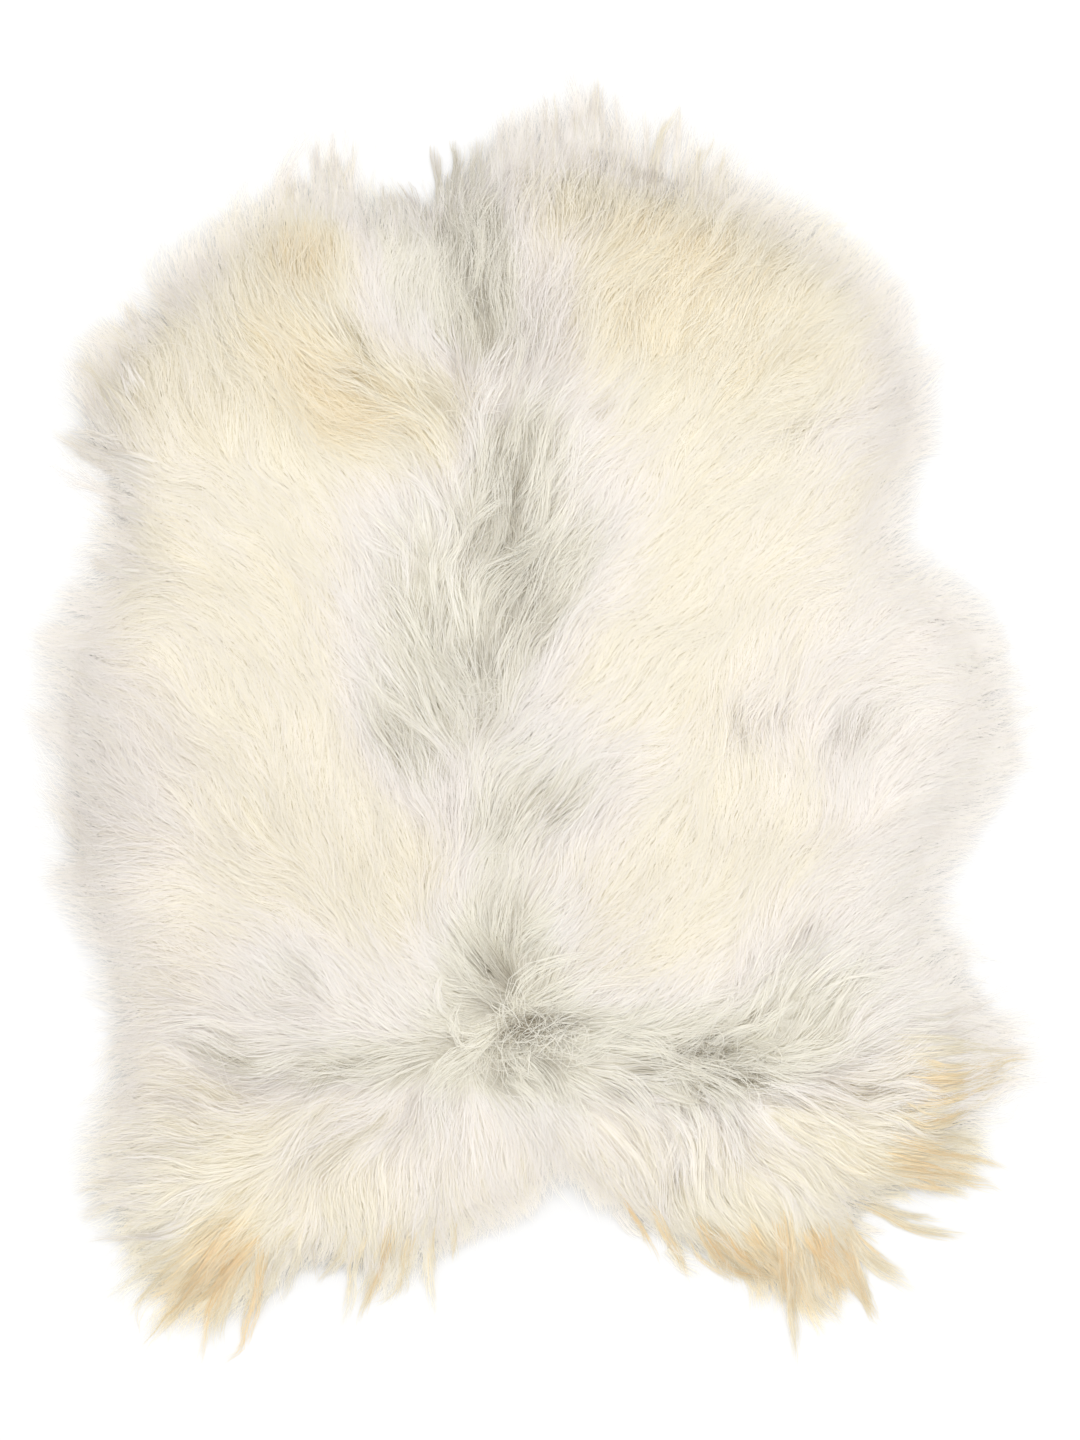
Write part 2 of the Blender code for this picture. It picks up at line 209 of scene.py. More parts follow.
        (792, 1312, 273), (820, 1300, 300), (870, 1212, 336), (905, 1228, 344), (950, 1225, 350),
        (882, 1266, 340), (905, 1278, 316), (925, 1300, 310),
    ],
}
combReach = 0.024  # how far a stroke of the comb carries, in metres

# The wool's pigment.
# Tone runs from 0 gold, 0.17 ochre and 0.38 cream to 0.6 pinkish beige, 0.8 pale grey and 1 olive grey.
# Each patch: pixel x, pixel y, half width, half height, tone, strength and, where it is turned, degrees.
tonePatches = [
    # cream body
    (275, 560, 110, 150, 0.38, 1.0), (265, 790, 110, 150, 0.40, 1.0),
    (680, 600, 160, 220, 0.38, 1.0, -15), (640, 460, 110, 80, 0.38, 1.0),
    (700, 860, 120, 100, 0.40, 1.0), (830, 640, 60, 100, 0.50, 0.7), (800, 440, 80, 80, 0.40, 0.8),
    (300, 440, 80, 50, 0.40, 0.7), (200, 420, 60, 60, 0.42, 0.7),
    # ochre and beige of the neck
    (286, 248, 60, 34, 0.13, 1.5, -10), (215, 285, 45, 40, 0.40, 1.0, 30),
    (245, 350, 90, 40, 0.24, 1.1), (365, 422, 80, 34, 0.18, 1.8), (305, 236, 30, 24, 0.09, 1.0),
    (385, 890, 40, 40, 0.36, 0.8), (163, 350, 14, 46, 0.30, 0.9, -28),
    (334, 402, 56, 30, 0.13, 1.6, -40), (130, 350, 50, 60, 0.33, 1.0),
    (110, 385, 26, 30, 0.33, 1.1, 40), (110, 430, 46, 40, 0.40, 1.2),
    (712, 245, 130, 36, 0.17, 1.6, -24), (775, 285, 60, 30, 0.36, 1.0, -42),
    (860, 310, 44, 60, 0.40, 1.0, -50), (838, 248, 40, 26, 0.21, 1.0, -40),
    (655, 365, 50, 24, 0.25, 0.8), (560, 188, 100, 36, 0.41, 1.0), (595, 120, 80, 40, 0.60, 1.0),
    (690, 325, 130, 56, 0.24, 1.4, -24), (608, 300, 30, 40, 0.25, 0.9),
    (780, 355, 60, 34, 0.33, 1.4, 10), (470, 395, 60, 24, 0.30, 0.9, 22),
    (450, 370, 40, 30, 0.50, 0.7),
    # grey along the spine
    (468, 225, 28, 90, 1.00, 1.6, 4), (408, 255, 42, 66, 0.84, 1.0), (485, 325, 26, 60, 0.96, 1.0),
    (560, 300, 28, 60, 0.80, 0.7, -10), (365, 205, 36, 22, 0.80, 0.8), (514, 520, 36, 100, 1.00, 1.5),
    (572, 560, 36, 80, 0.94, 1.2, -30), (556, 440, 36, 36, 0.94, 0.9, -30),
    (410, 600, 42, 80, 0.84, 1.1), (395, 740, 24, 50, 0.90, 1.0, 30), (440, 690, 40, 50, 0.84, 0.9),
    (475, 665, 40, 50, 0.94, 0.9), (500, 830, 24, 26, 0.95, 0.9), (560, 800, 56, 38, 0.92, 1.0, 20),
    (520, 745, 50, 22, 0.76, 0.6, 20),
    # grey of the rump
    (507, 960, 34, 52, 1.00, 1.2), (520, 1050, 54, 34, 0.96, 1.1), (725, 1064, 70, 32, 1.00, 1.3, 10),
    (800, 990, 50, 50, 0.80, 0.8), (640, 1030, 60, 22, 0.86, 0.5, 10), (340, 1064, 76, 18, 0.84, 0.8),
    (285, 975, 40, 30, 0.79, 0.7, 40), (230, 1055, 40, 14, 0.90, 0.7, -28),
    (855, 735, 32, 30, 0.86, 0.9), (760, 720, 30, 36, 0.76, 0.6),
    # flanks
    (68, 700, 30, 150, 0.57, 1.4), (80, 880, 40, 100, 0.60, 1.1), (150, 780, 46, 80, 0.60, 1.0),
    (130, 565, 44, 50, 0.36, 1.1), (905, 690, 70, 130, 0.60, 1.3), (985, 700, 40, 120, 0.60, 1.3),
    (940, 590, 50, 30, 0.58, 0.7), (895, 505, 40, 50, 0.36, 1.2), (890, 920, 56, 90, 0.60, 1.2),
    (945, 900, 34, 110, 0.60, 1.2), (365, 570, 26, 60, 0.60, 0.8), (285, 1022, 60, 26, 0.60, 1.4),
    (905, 380, 34, 80, 0.60, 1.0), (850, 432, 46, 26, 0.80, 0.8, 20),
    # beige and gold of the rear
    (130, 1110, 60, 90, 0.46, 1.2), (220, 1150, 90, 60, 0.41, 1.1), (330, 1170, 90, 50, 0.44, 1.0),
    (470, 1160, 70, 50, 0.49, 0.9), (620, 1150, 90, 50, 0.49, 0.9), (820, 1120, 130, 50, 0.39, 1.1),
    (195, 1275, 70, 26, 0.04, 1.8, 52), (150, 1230, 60, 40, 0.35, 1.1, 30),
    (245, 1300, 20, 46, 0.21, 1.2, 10), (375, 1270, 46, 50, 0.35, 1.1), (320, 1250, 40, 40, 0.41, 0.9),
    (470, 1220, 50, 30, 0.49, 0.8), (690, 1225, 46, 36, 0.39, 1.2, -40),
    (780, 1264, 60, 32, 0.02, 1.8, -10), (760, 1215, 60, 24, 0.41, 1.0, -40),
    (840, 1268, 26, 36, 0.02, 1.8, 30), (895, 1272, 40, 20, 0.39, 1.0, -30),
    (945, 1176, 80, 24, 0.10, 1.6, -6), (965, 1138, 40, 16, 0.16, 1.0),
    (900, 1225, 80, 20, 0.51, 1.3, -14), (990, 1064, 60, 26, 0.46, 1.2, 10),
    (940, 1110, 60, 26, 0.51, 1.0, 10),
]
# Painted shade, where the wool lies in its own shade, in gaps between locks and towards the rims, and the
# dark pigment of the grey wool: the same, but with depth of shade alone.
shadePatches = [
    # spine
    (474, 218, 28, 84, 0.48, 4), (462, 184, 54, 34, 0.44), (555, 205, 60, 28, 0.22),
    (440, 232, 10, 12, 0.27), (405, 205, 46, 40, 0.11), (488, 352, 12, 16, 0.32),
    (505, 330, 40, 60, 0.12), (548, 318, 30, 46, 0.22), (440, 390, 44, 40, 0.13),
    (508, 520, 26, 80, 0.27, -6), (530, 590, 18, 40, 0.35), (575, 560, 24, 60, 0.16, -30),
    (540, 636, 22, 44, 0.12), (505, 455, 30, 40, 0.06), (405, 590, 22, 60, 0.05),
    (440, 645, 36, 36, 0.12), (478, 672, 30, 24, 0.22), (395, 740, 16, 34, 0.27, 30),
    (430, 700, 26, 12, 0.27, -30), (440, 740, 40, 30, 0.10), (425, 830, 34, 70, 0.09),
    (482, 722, 28, 20, 0.27), (478, 665, 24, 20, 0.08), (485, 470, 26, 34, 0.10),
    (540, 425, 30, 20, 0.09), (425, 425, 26, 26, 0.10), (610, 895, 90, 40, 0.08),
    (375, 890, 60, 44, 0.07), (760, 850, 80, 40, 0.04), (350, 425, 70, 30, 0.09),
    (500, 1088, 50, 22, 0.10), (470, 545, 18, 24, 0.18), (845, 1262, 34, 30, 0.06),
    (125, 1325, 40, 20, 0.10), (540, 360, 40, 30, 0.08), (500, 825, 16, 14, 0.20),
    (560, 822, 18, 12, 0.25), (545, 790, 26, 24, 0.13),
    # rump
    (507, 962, 20, 40, 0.36), (530, 1029, 32, 10, 0.95, 8), (505, 1078, 12, 22, 0.36, 20),
    (505, 1020, 46, 46, 0.06), (560, 1062, 26, 16, 0.16), (692, 1052, 22, 9, 0.74, 10),
    (726, 1044, 20, 8, 0.56), (758, 1081, 32, 7, 0.74), (640, 1072, 16, 6, 0.30, 20),
    (703, 1088, 14, 12, 0.36), (765, 1010, 14, 12, 0.14), (805, 938, 16, 14, 0.25, 30),
    (800, 1030, 70, 50, 0.04), (420, 1055, 14, 12, 0.21), (330, 1066, 44, 8, 0.20, -4),
    (235, 1052, 32, 8, 0.26, -28), (290, 1008, 18, 8, 0.12, -30), (305, 980, 14, 26, 0.16, 40),
    (290, 1060, 100, 40, 0.05), (820, 1100, 130, 36, 0.05), (200, 1110, 110, 70, 0.15),
    (235, 1080, 60, 16, 0.06), (600, 960, 50, 26, 0.06), (330, 1130, 80, 50, 0.07),
    (590, 1130, 90, 40, 0.03), (150, 1000, 70, 60, 0.12),
    # small marks
    (772, 718, 9, 10, 0.51), (742, 730, 9, 16, 0.44, 20), (855, 732, 20, 18, 0.33),
    (800, 425, 22, 9, 0.20, 30), (360, 345, 8, 26, 0.48, 25), (352, 372, 12, 8, 0.44),
    (600, 410, 8, 8, 0.44), (675, 1182, 8, 10, 0.40), (620, 1092, 12, 7, 0.44),
    (880, 1090, 16, 5, 0.55), (862, 1120, 14, 6, 0.40, -30), (790, 1264, 60, 24, 0.12),
    (935, 1184, 30, 9, 0.33, -10),
    # necks, shoulders and flanks
    (705, 215, 140, 40, 0.34, -22), (570, 180, 110, 40, 0.28), (284, 252, 60, 36, 0.31),
    (175, 310, 60, 40, 0.26, 40), (100, 400, 40, 60, 0.27), (240, 320, 90, 60, 0.18),
    (360, 385, 90, 46, 0.20), (200, 400, 70, 40, 0.08), (680, 325, 150, 60, 0.15, -24),
    (600, 310, 50, 40, 0.13), (600, 240, 70, 40, 0.08), (452, 372, 18, 26, 0.20, -20),
    (211, 450, 30, 36, 0.08), (851, 823, 44, 24, 0.09, 40), (245, 830, 34, 46, 0.05, -40),
    (270, 640, 110, 150, 0.05), (280, 850, 120, 90, 0.09), (140, 400, 40, 40, 0.08),
    (415, 1110, 50, 50, 0.14), (350, 1165, 50, 30, 0.07), (750, 1125, 46, 40, 0.13),
    (180, 975, 50, 40, 0.08), (780, 355, 60, 40, 0.07), (425, 180, 34, 24, 0.36),
    (380, 215, 40, 30, 0.10), (240, 1080, 90, 30, 0.06), (130, 560, 50, 40, 0.17),
    (70, 680, 40, 120, 0.12), (130, 760, 60, 90, 0.20), (80, 860, 40, 70, 0.20),
    (900, 390, 30, 60, 0.19), (195, 1272, 60, 20, 0.08, 52), (840, 1266, 30, 30, 0.16, -60),
    (955, 1152, 46, 26, 0.15),
]

# Where the dense wool stops short of the part's edge and only loose locks carry on: with depth in metres.
bites = [
    (322, 1285, 50, 44, 0.026), (715, 1285, 90, 26, 0.028, -33), (908, 1206, 56, 12, 0.022, -8),
    (885, 1232, 60, 22, 0.034, -14), (872, 1262, 26, 20, 0.028, -20), (800, 1330, 24, 24, 0.010),
    (988, 1118, 30, 40, 0.014), (375, 168, 72, 30, 0.034), (636, 150, 34, 30, 0.032),
    (676, 162, 30, 26, 0.026), (66, 800, 34, 100, 0.013), (140, 302, 30, 26, 0.018),
    (100, 488, 36, 30, 0.034), (104, 1050, 30, 100, 0.015), (122, 1262, 36, 26, 0.016),
    (152, 1306, 24, 14, 0.016), (912, 1290, 30, 24, 0.014), (465, 1266, 40, 22, 0.006),
    (232, 202, 44, 16, 0.012, 20), (790, 195, 80, 14, 0.007, -25), (924, 335, 60, 14, 0.009, 72),
    (1030, 700, 20, 80, 0.014), (988, 980, 66, 16, 0.014, -56), (925, 480, 14, 60, 0.005),
    (962, 590, 54, 14, -0.008, -40), (170, 250, 24, 16, -0.008, 40),
]
# Where the wool lies tousled instead of calm: with roughness.
roughPatches = [
    (510, 520, 60, 110, 1.00), (440, 640, 60, 70, 0.70), (420, 590, 40, 80, 0.45),
    (400, 740, 40, 50, 0.60, 30), (500, 820, 50, 40, 0.55), (560, 800, 60, 40, 0.60, 20),
    (470, 430, 60, 40, 0.30), (468, 230, 40, 100, 0.26), (405, 250, 40, 60, 0.12),
    (490, 335, 36, 50, 0.40), (510, 962, 46, 52, 0.95), (525, 1035, 80, 36, 1.00),
    (610, 1055, 70, 22, 0.60), (735, 1070, 96, 34, 1.00), (800, 1000, 80, 60, 0.70),
    (800, 1085, 120, 40, 0.80), (690, 1130, 60, 60, 0.60), (340, 1062, 100, 30, 0.45),
    (235, 1052, 50, 25, 0.50, -28), (300, 990, 50, 40, 0.40, 30), (757, 725, 40, 30, 0.50),
    (855, 733, 45, 35, 0.60), (800, 425, 40, 20, 0.40, 30), (355, 355, 25, 40, 0.50, 25),
    (700, 225, 140, 40, 0.10, -22), (640, 300, 120, 60, 0.08), (250, 330, 120, 70, 0.10),
    (850, 1160, 140, 50, 0.16), (200, 1210, 110, 60, 0.16, 30), (110, 540, 60, 50, 0.05),
    (370, 1190, 90, 50, 0.20), (180, 1150, 80, 40, 0.14),
]

patchFade = 1.6  # how sharply a patch ends
plainWool = {"tone": 0.56, "hold": 0.30, "patchPull": 2.0}  # between the patches of tone
rearWool = {"row": 1120, "blend": 40, "rough": 0.26}  # the rear begins at this row of the photo


def patchWeight(px, py, patch, degrees=0):
    midX, midY, halfWidth, halfHeight = patch
    dx, dy, turn = px - midX, midY - py, math.radians(degrees)
    along = (dx * math.cos(turn) + dy * math.sin(turn)) / halfWidth
    across = (-dx * math.sin(turn) + dy * math.cos(turn)) / halfHeight
    return np.exp(-0.5 * (along**2 + across**2) * patchFade)


def covered(patches, x, y):
    # Each patch's value, with how much of it each place gets.
    px, py = toPhoto(x, y)
    for patch in patches:
        yield patch[4], patchWeight(px, py, patch[:4], *patch[5:])


def toPhoto(x, y):
    scale, (midX, midY) = photo["metresPerPixel"], photo["middle"]
    return x / scale + midX, midY - y / scale


def rearFade(py):
    return np.exp(-(py - rearWool["row"]) / rearWool["blend"])


def toneAt(x, y):
    px, py = toPhoto(x, y)
    cover = np.full(np.shape(x), plainWool["hold"])
    tone = plainWool["tone"] * cover
    for patch in tonePatches:
        weight = patch[5] * patchWeight(px, py, patch[:4], *patch[6:]) * plainWool["patchPull"]
        tone, cover = tone + patch[4] * weight, cover + weight
    return tone / cover


def shadeAt(x, y):
    light = np.ones(np.shape(x))
    for depth, weight in covered(shadePatches, x, y):
        light *= 1 - depth * weight
    return 1 - light


def roughAt(x, y):
    rough = rearWool["rough"] / (1 + rearFade(toPhoto(x, y)[1]))
    for roughness, weight in covered(roughPatches, x, y):
        rough = rough + roughness * weight
    return np.clip(rough, 0, 1)


# Fields on a grid over the rug.
grid = {"step": 0.004, "halfWidth": 0.50, "halfLength": 0.62}
gridX = np.arange(-grid["halfWidth"], grid["halfWidth"] + 1e-9, grid["step"])
gridY = np.arange(-grid["halfLength"], grid["halfLength"] + 1e-9, grid["step"])
meshX, meshY = np.meshgrid(gridX, gridY)


def sample(field, x, y):
    u = np.clip((x + grid["halfWidth"]) / grid["step"], 0, len(gridX) - 1.001)
    v = np.clip((y + grid["halfLength"]) / grid["step"], 0, len(gridY) - 1.001)
    i, j = u.astype(int), v.astype(int)
    fu, fv = u - i, v - j
    low = field[j, i] * (1 - fu) + field[j, i + 1] * fu
    high = field[j + 1, i] * (1 - fu) + field[j + 1, i + 1] * fu
    return low * (1 - fv) + high * fv


def soften(field, times):
    for _ in range(times):
        padded = np.pad(field, 1, mode="edge")
        field = (padded[:-2, 1:-1] + padded[2:, 1:-1] + padded[1:-1, :-2] + padded[1:-1, 2:] + 4 * field) / 8
    return field


def outlineOf(points):
    order = np.argsort(np.arctan2(points[:, 0], points[:, 1]))
    return points[order]


rimHeight = 0.010  # the part's own outline of the dense wool is at this height
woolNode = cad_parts["fleece"]
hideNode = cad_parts["hide"]
woolVerts = np.array([v.co[:] for v in woolNode.data.vertices])
atRim = np.abs(woolVerts[:, 2] - rimHeight) < 2e-5
denseEdge = outlineOf(np.unique(np.round(woolVerts[atRim][:, :2], 6), axis=0))
sideFaces = [f for f in hideNode.data.polygons if abs(f.normal.z) < 0.5]
hideEdge = np.array([hideNode.data.vertices[i].co.xy[:] for f in sideFaces for i in f.vertices])
hideEdge = outlineOf(np.unique(np.round(hideEdge, 5), axis=0))
print("outlines:", len(denseEdge), "round the wool,", len(hideEdge), "round the skin")


def reachOf(outline, x, y):
    bearing = np.arctan2(outline[:, 0], outline[:, 1])
    reach = np.hypot(outline[:, 0], outline[:, 1])
    return np.interp(np.arctan2(x, y), bearing, reach, period=2 * math.pi)


def insideOf(outline):
    closed = np.vstack([outline, outline[:1]])
    steps = np.linspace(0, 1, 9)[:-1]
    dense = np.concatenate([closed[:-1] + (closed[1:] - closed[:-1]) * s for s in steps])
    tree = KDTree(len(dense))
    for k, (x, y) in enumerate(dense):
        tree.insert((x, y, 0), k)
    tree.balance()
    away = np.array([tree.find((x, y, 0))[2] for x, y in zip(meshX.ravel(), meshY.ravel())])
    inside = np.hypot(meshX, meshY) < reachOf(outline, meshX, meshY)
    return np.where(inside, 1, -1) * away.reshape(meshX.shape)


deepestBite = 0.034


def biteAt(x, y):
    return np.minimum(sum(depth * weight for depth, weight in covered(bites, x, y)), deepestBite)


insetField = insideOf(denseEdge)

# The wool's height, from the part: it goes on thinly past the dense edge and sinks at the bites.
relief = {"skirtFade": 0.030, "least": 0.001, "softening": 4, "biteSinks": 0.35}
woolFaces = [tuple(f.vertices) for f in woolNode.data.polygons]
woolTree = BVHTree.FromPolygons([v[:] for v in woolVerts], woolFaces)
heightField = np.zeros(meshX.shape)
for j in range(len(gridY)):
    for i in range(len(gridX)):
        if insetField[j, i] > 0:
            hit = woolTree.ray_cast(Vector((gridX[i], gridY[j], 0.3)), Vector((0, 0, -1)))
            heightField[j, i] = hit[0].z if hit[0] else rimHeight
skirt = rimHeight * np.exp(np.minimum(insetField, 0) / relief["skirtFade"]) + relief["least"]
heightField = soften(np.where(insetField > 0, heightField, skirt), relief["softening"])
biteField = biteAt(meshX, meshY)
heightField = np.maximum(heightField - relief["biteSinks"] * biteField, relief["least"])

# How far the loose tips may stand out past the dense edge, from the part's own locks.
tipSearch = {
    "below": 0.0031,  # the part's lock tips end below this height
    "out": 0.006,  # at least this far past the dense edge, and apart
    "around": 0.012,  # the furthest point within this radius is a tip
    "window": 2.5,  # degrees to each side that share a tip's reach
    "bearings": 2,  # degrees from one bearing to the next
    "plainReach": 0.02,
    "biteHolds": (0.85, 0.030),  # share of the reach that a bite takes away, and its depth
}
low = np.unique(np.round(woolVerts[woolVerts[:, 2] < tipSearch["below"]], 4), axis=0)
lowOut = -sample(insetField, low[:, 0], low[:, 1])
low, lowOut = low[lowOut > tipSearch["out"]], lowOut[lowOut > tipSearch["out"]]
apart = np.hypot(low[:, 0, None] - low[:, 0], low[:, 1, None] - low[:, 1])
furthest = np.where(apart < tipSearch["around"], lowOut[None], -1).max(1) <= lowOut + 1e-9
tips = low[furthest]
nearEarlier = [(np.hypot(*(tips[:k] - tips[k]).T[:2]) < tipSearch["out"]).any() for k in range(len(tips))]
tips = tips[~np.array(nearEarlier)]
tipOut = -sample(insetField, tips[:, 0], tips[:, 1])
insetField = insetField - biteField
tipBearing = np.degrees(np.arctan2(tips[:, 0], tips[:, 1])) % 360
bearings = np.arange(0, 360, tipSearch["bearings"])
tipReach = []
for bearing in bearings:
    near = np.abs((tipBearing - bearing + 180) % 360 - 180) < tipSearch["window"]
    tipReach.append(tipOut[near].max(initial=tipSearch["plainReach"]))


def tipRoom(x, y):
    bearing = np.degrees(np.arctan2(x, y)) % 360
    held, depth = tipSearch["biteHolds"]
    reach = np.interp(bearing, bearings, tipReach, period=360)
    return reach * (1 - held * np.minimum(biteAt(x, y) / depth, 1))


# The combing as a field of directions, blended from the strokes.
flowX, flowY = np.zeros((2, *meshX.shape))
for strokes in combing.values():
    for px, py, degrees in strokes:
        x, y = fromPhoto(px, py)
        square = (meshX - x) ** 2 + (meshY - y) ** 2
        weight = np.exp(-square / (2 * combReach**2))
        weight = weight + 1e-4 * np.exp(-square / (2 * (4 * combReach) ** 2))  # so that no place is uncombed
        flowX += weight * math.cos(math.radians(degrees))
        flowY += weight * math.sin(math.radians(degrees))
flowLength = np.hypot(flowX, flowY) + 1e-12
flowX, flowY = flowX / flowLength, flowY / flowLength
toneField = toneAt(meshX, meshY)
shadeField = shadeAt(meshX, meshY)
nearRim = np.maximum(insetField, 0)
rimRough, rimDepth = 0.08, 0.025
roughField = np.clip(roughAt(meshX, meshY) + rimRough * np.exp(-nearRim / rimDepth), 0, 1)
woolHigh = round(float(heightField.max() * 1000), 1)
print("fields: wool", woolHigh, "mm high, combing strokes", sum(map(len, combing.values())))


# Materials.
def plug(tree, node, inputs):
    # Sets each input that is given a plain value, and links the others.
    for name, value in inputs.items():
        if isinstance(value, bpy.types.NodeSocket):
            tree.links.new(value, node.inputs[name])
        else:
            node.inputs[name].default_value = value
    return node


def addNode(tree, kind, inputs):
    return plug(tree, tree.nodes.new("ShaderNode" + kind), inputs)


def newMaterial(name):
    material = bpy.data.materials.new(name)
    material.use_nodes = True
    tree = material.node_tree
    tree.nodes.clear()
    output = addNode(tree, "OutputMaterial", {})
    shader = addNode(tree, "BsdfPrincipled", {})
    tree.links.new(shader.outputs["BSDF"], output.inputs["Surface"])
    return material, tree, shader


def rampNode(tree, stops, factor):
    ramp = addNode(tree, "ValToRGB", {"Fac": factor})
    elements = ramp.color_ramp.elements
    while len(elements) < len(stops):
        elements.new(0.5)
    for element, (place, colour) in zip(elements, stops):
        element.position = place
        element.color = (*colour, 1)
    return ramp.outputs["Color"]


def mixNode(tree, factor, first, second, blend="MIX"):
    mix = addNode(tree, "Mix", {})
    mix.data_type = "RGBA"
    mix.blend_type = blend
    return plug(tree, mix, {0: factor, 6: first, 7: second}).outputs[2]


def bumpNode(tree, height, strength, distance):
    bump = addNode(tree, "Bump", {"Strength": strength, "Distance": distance, "Height": height})
    return bump.outputs["Normal"]


def srgb(r, g, b):
    return tuple(((c / 255 + 0.055) / 1.055) ** 2.4 if c > 10 else c / 255 / 12.92 for c in (r, g, b))


woolFinish = {
    # tone, colour in the light and colour in the shade, from gold to grey
    "tones": [
        (0.00, (249, 236, 207), (231, 196, 132)),
        (0.17, (246, 239, 220), (212, 196, 158)),
        (0.34, (247, 244, 234), (206, 197, 170)),
        (0.42, (247, 244, 235), (206, 197, 172)),
        (0.54, (247, 244, 241), (207, 200, 193)),
        (0.61, (246, 244, 241), (207, 200, 194)),
        (0.70, (245, 243, 235), (192, 185, 166)),
        (0.80, (244, 242, 235), (174, 166, 148)),
        (1.00, (244, 242, 232), (140, 128, 105)),
    ],
    "roughness": 0.62,
    "specular": 0.2,
    "seeThrough": 0.50,  # share of light that passes through a fibre
}


def woolColour(tree, light, tone):
    lit = rampNode(tree, [(place, srgb(*pale)) for place, pale, _ in woolFinish["tones"]], tone)
    shaded = rampNode(tree, [(place, srgb(*dark)) for place, _, dark in woolFinish["tones"]], tone)
    return mixNode(tree, light, shaded, lit)


def makeWoolMaterial():
    material, tree, shader = newMaterial("woolFibre")
    chart = addNode(tree, "UVMap", {})
    chart.uv_map = "OFBake"
    split = addNode(tree, "SeparateXYZ", {"Vector": chart.outputs["UV"]})
    colour = woolColour(tree, split.outputs["X"], split.outputs["Y"])
    plug(tree, shader, {
        "Base Color": colour,
        "Roughness": woolFinish["roughness"],
        "Specular IOR Level": woolFinish["specular"],
    })
    through = addNode(tree, "BsdfTranslucent", {"Color": colour})
    sides = {0: woolFinish["seeThrough"], 1: shader.outputs["BSDF"], 2: through.outputs["BSDF"]}
    both = addNode(tree, "MixShader", sides)
    tree.links.new(both.outputs["Shader"], tree.nodes["Material Output"].inputs["Surface"])
    return material


woolMaterial = makeWoolMaterial()


def placed(name, data):
    thing = bpy.data.objects.new(name, data)
    bpy.context.scene.collection.objects.link(thing)
    return thing


# The locks. Of each pair with "more", the second number is added where the wool is tousled.
locks = {
    "spacing": 0.0118,  # between lock roots
    "insideEdge": 0.012,  # least distance of a root from the dense edge
    "strands": 16, "fullness": 0.97,  # in each lock, on average: more where locks are few
    "perLock": (0.6, 1.9),  # least and most strands of a lock, as shares of the average
    "rootSpread": 0.0048,  # radius that a lock's roots cover
    "length": (0.062, 0.100), "shortest": 0.2,  # share that is left of one that is cut to fit
    "longerRim": (0.35, 0.05),  # how much longer wool is at the rim, and how far in that goes
    "turn": (0.10, 0.14),  # radians, and more
    "bend": (0.25, 0.35),  # radians, and more
    "room": (0.45, 0.85),  # least share of the room past the dense edge, and more by chance
    "rearCut": 0.65,  # less of it at the rear, where the long locks go
    "steps": 5,
    "width": (0.00032, 0.00060),
    "clump": (0.55, 0.98),  # how far tousled strands draw in to the lock's middle by the tip
    "sway": 0.0024, "waves": (0.030, 0.060),  # waviness of a lock, and length of its waves
    "stray": 0.0050,  # of a strand from its lock, at the tip
    "seed": 5,
}
tufts = {"spacing": 0.030, "longer": 1.05, "turn": 0.12, "bend": 0.35, "room": (0.80, 0.50), "rearCut": 0.55}
rng = np.random.default_rng(locks["seed"])
slow = 3  # finer steps that a strand is grown in
rugHalf = (0.43, 0.55)  # within which single strands are thrown


def smoothNoise(size, seed):
    # Soft random hills over the grid, about one unit high and as wide as size.
    noise = np.random.default_rng(seed).normal(0, 1, meshX.shape)
    fx = np.fft.fftfreq(meshX.shape[1], grid["step"])[None]
    fy = np.fft.fftfreq(meshX.shape[0], grid["step"])[:, None]
    blur = np.exp(-((math.pi * size) ** 2) * (fx**2 + fy**2) / 2)
    hills = np.real(np.fft.ifft2(np.fft.fft2(noise) * blur))
    return hills / hills.std()


# How shaggy the wool is: fine over the back, gathered into locks at the rear and the rim.
rearField = 1 / (1 + rearFade(toPhoto(meshX, meshY)[1]))
shagLook = {"plain": 0.03, "rough": 0.12, "rear": 0.62, "rim": 0.20, "rearRim": 0.10, "rimFade": 0.020}
shagField = shagLook["plain"] + shagLook["rough"] * roughField + shagLook["rear"] * rearField
rimShag = shagLook["rim"] + shagLook["rearRim"] * rearField
shagField = np.clip(shagField + rimShag * np.exp(-nearRim / shagLook["rimFade"]), 0, 0.93)
# Swirls in the lie, in radians, and lumps in the height: strength, size and seed.
swirls = ((0.16, 0.018, 11), (0.13, 0.045, 12))
lumps = ((0.0005 + 0.0009 * roughField, 0.022, 13), (0.0009, 0.050, 14))
swirlField, lumpField = (sum(strength * smoothNoise(size, seed) for strength, size, seed in hills)
                         for hills in (swirls, lumps))
topField = heightField + lumpField
slopeX = np.gradient(heightField, grid["step"], axis=1)
slopeY = np.gradient(heightField, grid["step"], axis=0)


def jitteredPlaces(spacing, inside, jitter=0.28):
    # Roots on a triangular layout, each moved a little.
    rows = np.arange(-grid["halfLength"], grid["halfLength"], spacing * 0.866)
    xs, ys = [], []
    for n, y in enumerate(rows):
        row = np.arange(-grid["halfWidth"], grid["halfWidth"], spacing) + (n % 2) * spacing / 2
        xs.append(row)
        ys.append(np.full(len(row), y))
    x, y = np.concatenate(xs), np.concatenate(ys)
    x = x + rng.normal(0, spacing * jitter, len(x))
    y = y + rng.normal(0, spacing * jitter, len(y))
    keep = sample(insetField, x, y) > inside
    return x[keep], y[keep]


